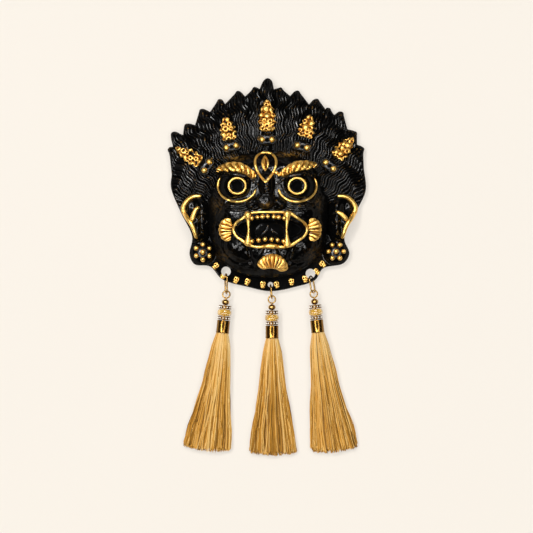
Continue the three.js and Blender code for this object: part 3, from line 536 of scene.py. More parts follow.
def set_curve(mapping, points):
    """Straight stretches through points of a share and a value."""
    curve = mapping.curves[0]
    while len(curve.points) < len(points):
        curve.points.new(0.5, 0.5)
    for spot, place in zip(curve.points, points):
        spot.location = place
        spot.handle_type = "VECTOR"
    mapping.update()


def new_material(name):
    """A material with an empty tree, and a wire to start from."""
    material = bpy.data.materials.new(name)
    material.use_nodes = True
    material.node_tree.nodes.clear()
    return material, Wire(material.node_tree)


def principled(start, sockets):
    return start.node("ShaderNodeBsdfPrincipled", sockets)


def finish_material(start, surface):
    """Ends a material's tree in one surface."""
    start.node("ShaderNodeOutputMaterial", {"Surface": surface})


def noise(start, scale, detail):
    """Noise over the piece, with its scale in spots per metre."""
    place = start.node("ShaderNodeTexCoord", out=3)
    settings = {"Vector": place, "Scale": scale, "Detail": detail, "Roughness": NOISE_ROUGHNESS}
    return start.node("ShaderNodeTexNoise", settings)


def bump(start, height, strength, distance):
    return start.node("ShaderNodeBump", {"Strength": strength, "Distance": distance, "Height": height})


def kept_value(start, name):
    """A value that is kept at each point of the mesh."""
    return start.node("ShaderNodeAttribute", out=2, attribute_name=name)


# Finishes


def black_lacquer():
    """Glossy black paint, dull on steep flanks, with gold dust on the forehead, the nose and some crests."""
    material, start = new_material("black_lacquer")
    patches = noise(start, 60.0, 2.0)
    crest = (0.0 - kept_value(start, "hollow")).between(0.2, 0.9)
    flecks = noise(start, 800.0, 2.0).between(0.6, 0.68) * crest * 0.6
    dust = kept_value(start, "dust") * noise(start, 700.0, 3.0).between(0.45, 0.6)
    strength = flecks.math("MAXIMUM", flecks, dust)
    colour = (0.6 * strength).mix((0.0005, 0.0005, 0.0005, 1.0), (0.50, 0.26, 0.05, 1.0))
    glossy = principled(start, {
        "Base Color": colour,
        "Roughness": 0.14 + 0.06 * patches.between(0.3, 0.7),
        "Normal": bump(start, kept_value(start, "skin") * noise(start, 430.0, 2.0), 0.32, 0.0005),
        "Specular IOR Level": 0.34,
    })
    dull = principled(start, {"Base Color": colour, "Roughness": 0.9, "Specular IOR Level": 0.05})
    share = 0.85 * kept_value(start, "steep")
    finish_material(start, start.node("ShaderNodeMixShader", {0: share, 1: glossy, 2: dull}))
    return material


def antique_gold():
    """Gold paint, lighter on the crests, partly as a painted highlight, and near black in the hollows, partly
    its rubbed-back dark ground and partly painted shade.
    """
    material, start = new_material("antique_gold")
    patches = noise(start, 260.0, 3.0)
    # Colour by curvature: a painted highlight lightens the crests, and painted shade deepens the dark
    # hollows.
    depth = kept_value(start, "hollow") + 0.35 * (patches - 0.5)
    bright = (0.0 - depth).between(-0.1, 0.5)
    body = bright.mix((0.60, 0.27, 0.028, 1.0), (1.0, 0.62, 0.15, 1.0))
    finish_material(start, principled(start, {
        "Base Color": depth.between(0.15, 0.6).mix(body, (0.035, 0.014, 0.002, 1.0)),
        "Metallic": 0.95,
        "Roughness": 0.29 + 0.12 * patches,
        "Normal": bump(start, noise(start, 1400.0, 3.0), 0.2, 0.0002),
        "Coat Weight": 0.4,
        "Coat Roughness": 0.2,
    }))
    return material


def cloudy(name, spots, detail, span, dark, light, roughness, cloudiness, others):
    """A finish that goes softly from one tint to another, and is rougher with the second."""
    material, start = new_material(name)
    cloud = noise(start, spots, detail)
    finish_material(start, principled(start, {
        "Base Color": cloud.between(*span).mix((*dark, 1.0), (*light, 1.0)),
        "Roughness": roughness + cloudiness * cloud,
        **others,
    }))
    return material


def metal(name, dark, light, roughness, cloudiness):
    """Brass that is more or less cloudy with age."""
    return cloudy(name, 420.0, 3.0, (0.35, 0.65), dark, light, roughness, cloudiness, {"Metallic": 1.0})


def golden_silk():
    """Straight silk threads, each of its own tint."""
    material, start = new_material("golden_silk")
    tint = kept_value(start, "tint")
    fibre = noise(start, 700.0, 2.0)
    deep = tint.between(0.0, 0.5).mix((0.10, 0.042, 0.004, 1.0), (0.57, 0.27, 0.03, 1.0))
    warm = tint.between(0.5, 1.0).mix(deep, (0.80, 0.56, 0.20, 1.0))
    body = tint.between(1.0, 1.5).mix(warm, (0.86, 0.70, 0.42, 1.0))
    finish_material(start, principled(start, {
        "Base Color": (0.2 * fibre).mix(body, (0.45, 0.22, 0.05, 1.0)),
        "Roughness": 0.38 + 0.15 * fibre,
        "Specular IOR Level": 0.2,
        "Sheen Weight": 0.04,
        "Sheen Roughness": 0.4,
    }))
    return material


def pale_floor():
    """A warm white studio ground that glows a little, as a light table does."""
    material, start = new_material("pale_floor")
    cloud = noise(start, 8.0, 2.0)
    finish_material(start, principled(start, {
        "Base Color": cloud.mix((0.275, 0.258, 0.233, 1.0), (0.285, 0.268, 0.243, 1.0)),
        "Roughness": 0.9,
        "Specular IOR Level": 0.1,
        "Emission Color": (0.965, 0.905, 0.823, 1.0),
        "Emission Strength": 0.582,
    }))
    return material


LACQUER, GOLD, SILK = black_lacquer(), antique_gold(), golden_silk()
AGED_BRASS = metal("aged_brass", (0.34, 0.19, 0.05), (0.60, 0.37, 0.12), 0.22, 0.12)
POLISHED_BRASS = metal("polished_brass", (0.24, 0.12, 0.022), (0.28, 0.145, 0.03), 0.2, 0.02)
BROWN_BRASS = metal("brown_brass", (0.17, 0.08, 0.015), (0.30, 0.15, 0.03), 0.36, 0.12)
CRYSTAL = cloudy(
    "champagne_crystal", 300.0, 2.0, (0.3, 0.7), (0.52, 0.27, 0.03), (0.84, 0.53, 0.10), 0.06, 0.05,
    {"Transmission Weight": 0.25, "IOR": 1.56},
)
# Near-white stones: their colour is a painted sparkle, standing in for clear cut stones catching the light.
GLINT_PAINTED_STONE = cloudy(
    "clear_stone", 1500.0, 1.0, (0.3, 0.7), (0.80, 0.72, 0.60), (0.95, 0.92, 0.86), 0.08, 0.1, {},
)


# Mask: outline and heights


def lock_edge(start, tip, end, half_width):
    """The outline of one lock of hair, from parting to parting over a rounded tip."""
    along = (end - start) / np.linalg.norm(end - start) * half_width
    out = tip / np.linalg.norm(tip) * half_width * TIP_DROP
    return smooth_path([start, tip - along - out, tip, tip + along - out, end], LOCK_STEPS)[:-1]


def strands_per_radian(turn):
    """How many strands lie side by side in the fan of hair, which is longer at its top."""
    return (FAN_SIDE_REACH + FAN_TOP_REACH * np.sin(turn)) / STRAND_PITCH


def mask_outline():
    """Outline points counterclockwise, and their relief: 1 on a lock, -1 in a parting, 0 below the hair."""
    partings = np.vstack([LOWER_EDGE[-1:], LOCK_VALLEYS, LOWER_EDGE[:1]])
    points, lock_relief = [], []
    for number, tip in enumerate(LOCK_TIPS):
        half_width = CROWN_TIP_HALF_WIDTH if number == CROWN_LOCK else TIP_HALF_WIDTH
        edge = lock_edge(partings[number], tip, partings[number + 1], half_width)
        share = np.linspace(0.0, 1.0, len(edge), endpoint=False)
        peak = share[np.argmin(np.linalg.norm(edge - tip, axis=1))]
        swing = np.where(share < peak, 0.5 * share / peak, 0.5 + 0.5 * (share - peak) / (1.0 - peak))
        points.append(edge)
        lock_relief.append(-np.cos(2 * math.pi * swing))
    lower = smooth_path(LOWER_EDGE, LOWER_STEPS)[:-1]
    points.append(lower)
    lock_relief.append(np.zeros(len(lower)))
    points, lock_relief = np.vstack(points), np.concatenate(lock_relief)
    ahead = np.roll(points, -1, 0)
    step = np.linalg.norm(ahead - points, axis=1)
    fan, fan_ahead = points - STRAND_FOCUS, ahead - STRAND_FOCUS
    turned = np.abs(fan[:, 0] * fan_ahead[:, 1] - fan[:, 1] * fan_ahead[:, 0]) / np.sum(fan * fan, axis=1)
    bearing = np.arctan2(fan[:, 1], fan[:, 0])
    strands = turned * strands_per_radian(bearing) * STRAND_COLUMNS
    strands = np.where(points[:, 1] > HAIR_FADE[0], strands, 0.0)
    columns = np.cumsum(np.maximum(strands, step / EDGE_COLUMN))
    kept = np.diff(np.floor(columns), prepend=-1.0) > 0.0
    return points[kept], lock_relief[kept]


OUTLINE, OUTLINE_RELIEF = mask_outline()


def edge_share(x, y, edge):
    """How far a point is from the middle of an edge, as a share of the edge's reach in its direction."""
    turn, reach = np.arctan2(edge[:, 1], edge[:, 0]), np.hypot(edge[:, 0], edge[:, 1])
    order = np.argsort(turn)
    return np.hypot(x, y) / np.interp(np.arctan2(y, x), turn[order], reach[order], period=2 * math.pi)


def plate_height(share, y):
    """Height of the back plate at a share of the way from the middle of the face to the outline."""
    sweep_in = np.clip((1.0 - share) / HAIR_SWEEP, 0.0, 1.0)
    rise = smooth_step(*HAIR_FADE, y) * (PLATE_HEART - PLATE_EDGE)
    return PLATE_EDGE + rise * np.sin(sweep_in * math.pi / 2)


def mound_height(x, y, form):
    """Height of an ellipsoid over a place in plan, or nothing beside it."""
    form_x, form_y, form_z, rx, ry, rz = form
    apart = ((x - form_x) / rx) ** 2 + ((y - form_y) / ry) ** 2
    return np.where(apart < 1.0, form_z + rz * np.sqrt(np.clip(1.0 - apart, 0.0, 1.0)), 0.0)


def blended_max(a, b, reach):
    """The higher of two heights, with their meeting line softened over a reach."""
    mix = np.clip(0.5 + 0.5 * (a - b) / reach, 0.0, 1.0)
    return b + (a - b) * mix + reach * mix * (1.0 - mix)


SIDE_MOUNDS = [
    (EAR_X + side * form[0], *form[1:])
    for form in (EAR_FORM, LOBE_FORM)
    for side in SIDES
]


def mouth_knots(width_share=1.0, height_share=1.0):
    """The mouth's outline: a level upper lip, a wavy lower one and rounded corners."""
    level = MOUTH_FLAT / MOUTH_HALF_WIDTH
    upper = [(1.0, 0.0), (0.93, 0.36), (0.76, 0.62), (level, 0.93), (0.0, 1.0)]
    lower = [(1.0, 0.0), (0.93, 0.36), (0.77, 0.62), (0.57, 0.88), (0.36, 1.0), (0.0, 0.95)]
    knots = upper + [(-across, along) for across, along in upper[3::-1]]
    knots += [(-across, -along) for across, along in lower[1:]]
    knots += [(across, -along) for across, along in lower[4:0:-1]]
    size = (MOUTH_HALF_WIDTH * width_share, MOUTH_HALF_HEIGHT * height_share)
    return np.array(knots) * size + (MOUTH_X, MOUTH_Y)


THROAT = smooth_path(mouth_knots(THROAT_WIDTH_SHARE, THROAT_HEIGHT_SHARE), 200, closed=True)
THROAT = THROAT - (MOUTH_X, MOUTH_Y)


def bell(x, y, middle_x, middle_y, reach_x, reach_y):
    """A soft round swelling of height one."""
    return np.exp(-((x - middle_x) / reach_x) ** 2 - ((y - middle_y) / reach_y) ** 2)


def ridge(value, middle, width):
    """A rounded line of height one where a value passes its middle."""
    return np.exp(-((value - middle) / width) ** 2)


def crumple(x, y, crosswise, lengthwise):
    """Wandering lumps between -1 and 1."""
    (wave_x, bend_x, turn_x), (wave_y, bend_y, turn_y) = crosswise, lengthwise
    return np.sin(wave_x * x + bend_x * np.sin(turn_x * y)) * np.sin(wave_y * y + bend_y * np.sin(turn_y * x))


def dome_share(x, y):
    """How far out on the face a place is: 0 in its middle and 1 at its rim."""
    across, along = (x - DOME_X) / DOME_HALF_WIDTH, (y - DOME_Y) / DOME_HALF_HEIGHT
    return np.abs(across) ** DOME_POWER + np.abs(along) ** DOME_POWER


def dome_height(x, y):
    """The face without its features."""
    swell = np.clip(1.0 - dome_share(x, y) ** (2.0 / DOME_POWER), 0.0, 1.0) ** DOME_FULLNESS
    soft = sum(rise * bell(x, y, *place) for *place, rise in SOFT_FORMS.values())
    return DOME_RIM + (DOME_CROWN - DOME_RIM) * swell + soft * np.minimum(1.0, SOFT_FADE * swell)


def cheek_line(x, y, side):
    """The fold from the nose round a cheek."""
    across, along = (x - CHEEK_LINE_X) * side - CHEEK_LINE_SPREAD, (y - CHEEK_LINE_Y) * CHEEK_LINE_SQUASH
    line = ridge(np.hypot(across, along), CHEEK_LINE_RADIUS, CHEEK_LINE_WIDTH)
    return CHEEK_LINE_DEPTH * line * bell(x, y, CHEEK_LINE_X + side * CHEEK_PATCH_SPREAD, *CHEEK_PATCH)


def eye_bags(x, y, side):
    """The folds below an eye."""
    below = np.hypot(x - EYE_X - side * EYE_SPREAD, (y - EYE_Y) * BAG_SQUASH)
    bags = BAG_HEIGHT * np.sin(2 * math.pi * (below - BAG_START) / BAG_PITCH)
    return bags * smooth_step(*BAG_OUTER, below) * smooth_step(*BAG_INNER, below) * smooth_step(*BAG_UPPER, y)


def chin_crease(x, y, side):
    """The crease from a corner of the mouth down to the chin."""
    across = (x - MOUTH_X) * side + CREASE_SLOPE * (MOUTH_Y - CREASE_DROP - y)
    line = CREASE_DEPTH * ridge(across, CREASE_SPREAD, CREASE_WIDTH)
    return line * smooth_step(*CREASE_UPPER, y) * smooth_step(*CREASE_LOWER, y)


def jowl_line(x, y, side):
    """The fold round a jowl."""
    away = np.hypot((x - MOUTH_X) * side - JOWL_SPREAD, y - JOWL_Y)
    return JOWL_DEPTH * ridge(away, JOWL_RADIUS, JOWL_WIDTH) * smooth_step(*JOWL_UPPER, y)


def wrinkles(x, y):
    """Folds of the face that are cut or raised in the black."""
    folds = -sum(NOSTRIL_DEPTH * bell(x, y, *place, *NOSTRIL_REACH) for place in NOSTRILS)
    folds = folds + NOSE_CRUMPLE_HEIGHT * crumple(x, y, *NOSE_CRUMPLE) * bell(x, y, *NOSE_CRUMPLE_PATCH)
    rows = np.sin(2 * math.pi * (y - FOREHEAD_BOW * x * x) / FOREHEAD_PITCH)
    folds = folds + FOREHEAD_HEIGHT * rows * bell(x, y, *FOREHEAD_PATCH)
    for side in SIDES:
        folds = folds - cheek_line(x, y, side) + eye_bags(x, y, side)
        folds = folds - chin_crease(x, y, side) - jowl_line(x, y, side)
    lumps = LUMP_HEIGHT * crumple(x, y, *LUMPS) + SMALL_LUMP_HEIGHT * crumple(x, y, *SMALL_LUMPS)
    return folds + lumps


def eye_place(side):
    """The middle of an eye in plan."""
    return EYE_X + side * EYE_SPREAD, EYE_Y


def face_height(x, y, opened=True):
    """The black face. Opened, it has its pupils and its mouth cut in."""
    z = dome_height(x, y)
    for form in NOSE:
        z = blended_max(z, mound_height(x, y, form), NOSE_BLEND)
    for facet_x, facet_y, facet_z, reach in NOSE_FACETS:
        plane = facet_z + FACET_SLOPE_X * (x - facet_x) + FACET_SLOPE_Y * (y - facet_y)
        z = np.where(np.hypot(x - facet_x, y - facet_y) < reach, np.minimum(z, plane), z)
    z = z + wrinkles(x, y)
    for eye in both(eye_place):
        eyeball = mound_height(x, y, (*eye, EYEBALL_HEIGHT, *[EYEBALL_RADIUS] * 3))
        z = blended_max(z - EYE_HOLLOW_DEPTH * bell(x, y, *eye, *EYE_HOLLOW), eyeball, EYE_BLEND)
        if opened:
            pit = EYEBALL_HEIGHT + EYEBALL_RADIUS - PUPIL_DEPTH
            rim = [PUPIL_RADIUS + step for step in PUPIL_EDGE]
            z = z + (pit - z) * smooth_step(*rim, np.hypot(x - eye[0], y - eye[1]))
    if opened:
        dx, dy = x - MOUTH_X, y - MOUTH_Y
        tongue = (0.0, -TONGUE_DROP, 0.0, TONGUE_HALF_WIDTH, TONGUE_HALF_HEIGHT, TONGUE_RISE)
        floor = MOUTH_FLOOR + mound_height(dx, dy, tongue)
        z = z + (np.minimum(floor, z) - z) * smooth_step(*THROAT_EDGE, edge_share(dx, dy, THROAT))
    return z


def head_height(x, y):
    """Height of the mask under its ornament at places in plan."""
    x, y = np.asarray(x, float), np.asarray(y, float)
    z = plate_height(edge_share(x, y, OUTLINE), y)
    for mound in SIDE_MOUNDS:
        z = np.maximum(z, mound_height(x, y, mound))
    return np.where(dome_share(x, y) < 1.0, np.maximum(z, face_height(x, y, opened=False)), z)


def laid(path, lift):
    """A plane path laid on the mask."""
    return np.column_stack([path, head_height(path[:, 0], path[:, 1]) + lift])


def set_on(x, y, lift, radius):
    """A ball set on the mask."""
    return ball(x, y, float(head_height(x, y)) + lift, radius)


def swelling(count, ends, swell):
    """Sizes along a bar that is thicker in its middle."""
    return ends + swell * np.sin(math.pi * np.linspace(0.0, 1.0, count))


def raised_line(knots, wire, lift, blunt=0.06, sides=12):
    """A bar laid on the mask along a smooth line, with a size at each step and rounded ends."""
    path = laid(smooth_path(knots, len(wire) - 1), lift)
    return sweep(path, wire * rounded_ends(len(path), blunt), sides)


def raised_ring(path, wire, sides=10):
    """A closed bar of even wire."""
    return sweep(path, wire, sides, looped=True)


# Mask: black forms


STRAND_SIZES = np.random.default_rng(3).uniform(0.65, 1.2, STRAND_KINDS)
FAN = OUTLINE - STRAND_FOCUS
FAN_TURN, FAN_REACH = np.arctan2(FAN[:, 1], FAN[:, 0]), np.hypot(FAN[:, 0], FAN[:, 1])


def strand_places(share):
    """Plan places at a share of the way to the outline, on lines that wave as the strands do."""
    distance = FAN_REACH * share
    hair = smooth_step(*HAIRLINE, STRAND_FOCUS[1] + FAN[:, 1] * share)
    drift = sum(size * np.sin(rate * FAN_TURN + start) for size, rate, start in STRAND_DRIFT)
    wave = STRAND_SWING * np.sin(2 * math.pi * distance / STRAND_WAVE + drift)
    wave = wave + STRAND_RIPPLE * np.sin(distance / RIPPLE_LENGTH + RIPPLE_TURNS * FAN_TURN)
    turn = FAN_TURN + wave / strands_per_radian(FAN_TURN) * hair * smooth_step(*STRAND_FADE, share)
    return STRAND_FOCUS[0] + distance * np.cos(turn), STRAND_FOCUS[1] + distance * np.sin(turn)


def strand_relief(y, share):
    """Heights of the strands on those lines."""
    strand = (FAN_SIDE_REACH * FAN_TURN - FAN_TOP_REACH * np.cos(FAN_TURN)) / STRAND_PITCH + FIRST_STRAND
    number = np.floor(strand).astype(int)
    swell = STRAND_SWELL * np.sin(FAN_REACH * share / SWELL_LENGTH + number * SWELL_SHIFT)
    size = STRAND_SIZES[number % STRAND_KINDS] * (1.0 - STRAND_SWELL + swell)
    bulge = size * np.abs(np.sin(math.pi * strand)) ** STRAND_ROUNDNESS - 0.5
    return smooth_step(*HAIRLINE, y) * STRAND_HEIGHT * bulge


def ear_relief(x, y):
    """The hollow of each ear inside its rim, and the curls between ear and face."""
    z = 0.0
    for side in SIDES:
        across = side * (x - EAR_X)
        z = z + sum(height * bell(across, y, *place) for height, *place in EAR_HOLLOWS)
        z = z + EAR_CURL_HEIGHT * crumple(across, y, *EAR_CURLS) * bell(across, y, *EAR_CURL_PATCH)
    return z


def plate_row(share, drop):
    """One ring of the plate's front, at a share of the way from the strands' focus to the outline."""
    x, y = strand_places(share)
    reach = edge_share(x, y, OUTLINE)
    z = plate_height(reach, y) + LOCK_RELIEF * OUTLINE_RELIEF * smooth_step(1.0, 0.95, share)
    z = z + strand_relief(y, share) * smooth_step(*STRAND_END, share) - drop
    for mound in SIDE_MOUNDS:
        z = blended_max(z, mound_height(x, y, mound), EAR_BLEND)
    return np.column_stack([x, y, np.maximum(z + ear_relief(x, y), PLATE_LEAST)])


def back_plate():
    """The fan of hair, the ears, lobes and collar, with a flat back."""
    rings = [plate_row(share, 0.0) * (1.0, 1.0, 0.0) + (0.0, 0.0, height) for share, height in RIM_RINGS]
    for tilt in np.radians(EDGE_TILTS):
        inset, drop = EDGE_ROUND * (1.0 - math.sin(tilt)), EDGE_ROUND * (1.0 - math.cos(tilt))
        rings.append(plate_row(1.0 - inset / OUTLINE_REACH, drop))
    inner = np.linspace(PLATE_OUTER_SHARE, PLATE_INNER_SHARE, PLATE_ROWS)
    return loft(rings + [plate_row(share, 0.0) for share in inner])


def face():
    """The dome of the face with its eyes, nose, folds and open mouth."""
    distance, turn = disc_grid(FACE_GRID)
    across, along = np.cos(turn), np.sin(turn)
    reach = distance * (np.abs(across) ** DOME_POWER + np.abs(along) ** DOME_POWER) ** (-1.0 / DOME_POWER)
    x = DOME_X + DOME_HALF_WIDTH * across * reach
    y = DOME_Y + DOME_HALF_HEIGHT * along * reach
    return relief(x, y, face_height(x, y), DOME_FOOT)


def flame_place(flame, across, along):
    """Places in plan for points across and along a crown flame, measured from its foot."""
    x, y, lean = flame[:3]
    sin, cos = math.sin(math.radians(lean)), math.cos(math.radians(lean))
    return x + across * cos - along * sin, y + across * sin + along * cos


def seat_places(flame):
    """The middle of the seat below a crown flame, on the mask, and the places of its studs in plan."""
    x, y = flame_place(flame, 0.0, -flame[5])
    places = both(lambda side: flame_place(flame, side * STUD_SPREAD, -flame[5]))
    return (x, y, float(head_height(x, y))), places


def seat(flame):
    """The round black knob below a crown flame, with a socket for each stud."""
    middle, places = seat_places(flame)
    height = middle[2] + SEAT_FORM[2] * SOCKET_HEIGHT_SHARE
    rims = [level(circle(*place, SOCKET_RADIUS, SOCKET_RADIUS, 24), height) for place in places]
    return ball(*middle, *SEAT_FORM, around=20, down=11), [raised_ring(rim, SOCKET_WIRE, 8) for rim in rims]


def studs(flame):
    """The two gold beads on the seat below a crown flame."""
    middle, places = seat_places(flame)
    return [ball(*place, middle[2] + SEAT_FORM[2] * STUD_HEIGHT_SHARE, STUD_RADIUS) for place in places]


def face_folds():
    """Thin black folds across the bridge of the nose and on the tongue."""
    lines = [[(-2.3, y - 0.4), (-0.2, y), (1.9, y - 0.4)] for y in BRIDGE_FOLDS]
    folds = []
    for line in lines + TONGUE_FOLDS:
        path = smooth_path(line, 24)
        path = np.column_stack([path, face_height(path[:, 0], path[:, 1]) + 0.15])
        folds.append(sweep(path, FOLD_WIRE * rounded_ends(len(path), 0.3), 10, 0.5))
    return folds


def upper_lid(side):
    """The black fold of skin under a brow."""
    knots = [(EYE_X + side * x, y) for x, y in LID_FOLD]
    return raised_line(knots, LID_FOLD_WIRE * swelling(61, *LID_FOLD_SWELL), 0.2, 0.1)


# Mask: gold ornament


def flame_girth(share, width):
    """Half the width of a crown flame at a share of its length, without its scallops."""
    return width / 2 * np.sin(math.pi * (0.25 + 0.75 * np.minimum(share, 0.995))) ** 0.7


def flame_curls(flame, across, along):
    """Heights of the round curls that crowd a flame, at places across and along it."""
    length, width = flame[3:5]
    tier_pitch = FLAME_CURL_PITCH / FLAME_CROWDING
    chance = np.random.default_rng(round(100 + flame[0]))
    curls = np.zeros(across.shape)
    for tier in range(round(length / tier_pitch) + 1):
        middle = (tier + 0.2) * tier_pitch
        girth = float(flame_girth(min(middle / length, 1.0), width))
        row = np.arange(-girth, girth + FLAME_SHIFT, FLAME_CURL_PITCH) + 0.5 * FLAME_CURL_PITCH * (tier % 2)
        for place in row:
            spot = (place, middle) + chance.uniform(-FLAME_SHIFT, FLAME_SHIFT, 2)
            away = np.hypot(across - spot[0], along - spot[1]) / chance.uniform(1.5, 2.4)
            bearing = np.arctan2(along - spot[1], across - spot[0]) - chance.uniform(0.0, 2 * math.pi)
            lump = np.sqrt(np.clip(1.0 - away ** 2, 0.0, 1.0)) * (0.85 + 0.2 * np.cos(bearing) * away)
            pit = chance.choice([0.0, 0.7, 0.7]) * ridge(away, 0.1, 0.25)
            curls = np.maximum(curls, chance.uniform(0.7, 1.15) * lump - pit)
    return curls


def flame_leaf(flame):
    """A crown flame: a scalloped leaf crowded with small round curls."""
    length, width = flame[3:5]
    share = np.linspace(0.0, 1.0, FLAME_STEPS)[:, None]
    turn = math.pi * np.append(np.linspace(0.0, 1.0, FLAME_FRONT_STEPS), FLAME_BACK_TURNS)[None, :]
    scallop = 1.0 - FLAME_SCALLOP * (0.5 + 0.5 * np.cos(2 * math.pi * FLAME_LOBES * share))
    across = flame_girth(share, width) * scallop * np.cos(turn)
    along = share * length + np.zeros_like(turn)
    ends = np.sqrt(np.clip(np.minimum(share / 0.05, (1.0 - share) / 0.1), 0.02, 1.0))
    curls = FLAME_CURL_RISE * flame_curls(flame, across, along) * np.clip(3.0 * np.sin(turn), 0.0, 1.0)
    top = FLAME_RISE * np.sqrt(np.abs(np.sin(turn))) + curls
    depth = np.where(turn <= math.pi, top * ends, -FLAME_SINK)
    foot, tip = (head_height(*flame_place(flame, 0.0, length * end)) for end in (0.0, 0.96))
    rings = np.stack([*flame_place(flame, across, along), foot + (tip - foot) * share + depth], axis=-1)
    return loft(rings[:, ::-1])


def ribbed_bar(path, half_width, ribs, flatness, lean, width, sides=18):
    """A crescent with ribs across it, which may lean along it. A larger width of groove parts them more."""
    share = shares(path)[:, None]
    turn = full_turn(sides)[None, :] + math.pi / 2
    rib = np.abs(np.sin(math.pi * (ribs * share + lean * np.cos(turn)))) ** width
    return sweep(path, half_width[:, None] * (0.88 + 0.12 * rib), sides, flatness * (0.2 + 0.8 * rib))


def brow(side, knots):
    """A gold brow of leaning ribs, thick over the eye."""
    path = laid(smooth_path(knots, 100), 0.2)
    girth = BROW_HALF_WIDTH * np.interp(shares(path), *BROW_GIRTH) * rounded_ends(len(path))
    return ribbed_bar(path, girth, BROW_RIBS, BROW_FLATNESS, -BROW_LEAN * side, BROW_GROOVE)


def shell(x, y, reach, turn, spread, ribs, blunt):
    """A gold scallop: a crescent with ribs that fan out from its hollow side."""
    path = laid(smooth_path(arc(x, y, *reach, turn - spread / 2, turn + spread / 2, 9), 84), SHELL_LIFT)
    girth = SHELL_HALF_WIDTH * swelling(len(path), *SHELL_SWELL) * rounded_ends(len(path), blunt)
    return ribbed_bar(path, girth, ribs, SHELL_FLATNESS, 0.0, SHELL_GROOVE)


def cheek_shell(side):
    place = CHEEK_SHELL_X + side * CHEEK_SHELL_SPREAD, CHEEK_SHELL_Y
    turn = 90.0 - 90.0 * side
    return shell(*place, CHEEK_SHELL_REACH, turn, CHEEK_SHELL_ARC, CHEEK_SHELL_RIBS, CHEEK_SHELL_BLUNT)


def chin_shell():
    place = CHIN_SHELL_X, CHIN_SHELL_Y
    return shell(*place, CHIN_SHELL_REACH, CHIN_SHELL_TURN, CHIN_SHELL_ARC, CHIN_SHELL_RIBS, CHIN_SHELL_BLUNT)


def lid(side):
    """The gold line of the lower lid."""
    x, y = eye_place(side)
    knots = arc(x, y + LID_RISE, -side * LID_HALF_WIDTH, LID_HALF_HEIGHT, LID_FROM, LID_TO, 11)
    return raised_line(knots, np.full(71, LID_WIRE), 0.2, sides=10)


def eye_ring(side):
    """The gold ring round a pupil."""
    x, y = eye_place(side)
    path = circle(x, y, EYE_RING_RADIUS, EYE_RING_RADIUS * EYE_RING_SQUASH, 56)
    return raised_ring(level(path, float(head_height(x + EYE_RING_RADIUS, y)) + 0.15), EYE_RING_WIRE)


def third_eye():
    """The gold drop on the forehead."""
    turn = full_turn(24)
    x = DROP_X + DROP_HALF_WIDTH * np.sin(turn) * np.abs(np.sin(turn / 2))
    y = DROP_Y - DROP_HALF_HEIGHT * np.cos(turn)
    return raised_ring(laid(smooth_path(np.column_stack([x, y]), 90, closed=True), 0.2), DROP_WIRE)


def spindle():
    """The gold almond in the third eye, with a dark slit down it."""
    distance, turn = disc_grid(26)
    across, along = distance * np.cos(turn), distance * np.sin(turn)
    x = SPINDLE_X + SPINDLE_HALF_WIDTH * across * (1.0 - SPINDLE_TAPER * along ** 2)
    y = SPINDLE_Y + SPINDLE_HALF_HEIGHT * along
    slit = ridge(x, SPINDLE_X + SLIT_X, SPINDLE_SLIT) * smooth_step(*SLIT_ENDS, np.abs(along))
    foot = head_height(x, y)
    rise = (SPINDLE_RISE + SPINDLE_SLOPE * (y - SPINDLE_Y)) * np.sqrt(1.02 - distance ** 4)
    return relief(x, y, foot + rise - SLIT_DEPTH * slit, float(foot.min()) - 3.0)


def lips():
    """The gold line round the mouth, thicker under the lower teeth and at the fangs."""
    path = laid(smooth_path(mouth_knots(), 130, closed=True), 0.25)
    across = path[:, 0] - MOUTH_X
    under = np.where(path[:, 1] < MOUTH_Y, ridge(across, 0.5, 5.0), 0.0)
    corners = ridge(np.abs(across + 0.8), FANG_SPREAD + 1.5, 2.5)
    return raised_ring(path, LIP_WIRE * (1.0 + 0.85 * under + 0.4 * corners), 12)


def fang(side, end, root):
    """A gold fang from one lip to the middle of the mouth, flared at its root."""
    x, y = FANG_X + side * FANG_SPREAD, MOUTH_Y + end * MOUTH_HALF_HEIGHT * root
    share = np.linspace(0.0, 1.0, FANG_STEPS)
    radius = FANG_TIP + (FANG_ROOT - FANG_TIP) * (1.0 - share) ** FANG_TAPER
    radius = radius * rounded_ends(FANG_STEPS, 0.1)
    path = laid(np.column_stack([x - side * FANG_LEAN * share, y + (MOUTH_Y - end * 0.5 - y) * share]), 0.1)
    path[:, 2] += 0.5 * radius
    return sweep(path, radius, 12)


def teeth():
    """Two rows of gold bead teeth on the ledge behind the lips."""
    jitter = np.random.default_rng(11)
    beads = []
    for start, end, y, bow, count in TOOTH_ROWS:
        for share in np.linspace(0.0, 1.0, count):
            x = start + (end - start) * share + jitter.uniform(-0.25, 0.25)
            tooth_y = y + bow * math.sin(math.pi * share)
            ledge = float(head_height(x, tooth_y + math.copysign(1.4, y - MOUTH_Y)))
            beads.append(ball(x, tooth_y, ledge + 0.2, TOOTH_RADIUS * jitter.uniform(0.9, 1.08)))
    return beads


def ear_rim(side):
    """The gold outer fold of an ear."""
    knots = [(EAR_X + side * x, y) for x, y in EAR_RIM]
    return raised_line(knots, EAR_WIRE * swelling(57, *EAR_SWELL), 0.4)


def ear_fold(line):
    """The gold inner fold of an ear."""
    return raised_line(line, EAR_WIRE * np.linspace(0.7, 1.2, 37), 0.3, 0.2)


def rosette(x, y, turn):
    """A ring of gold beads round one in the middle, on an ear lobe."""
    ring = circle(x, y, ROSETTE_RADIUS, ROSETTE_RADIUS, ROSETTE_BEADS, turn)
    size = np.random.default_rng(17).uniform(0.85, 1.05, ROSETTE_BEADS + 1)
    return [set_on(*place, 0.4, ROSETTE_BEAD_RADIUS * grown) for place, grown in zip([(x, y), *ring], size)]


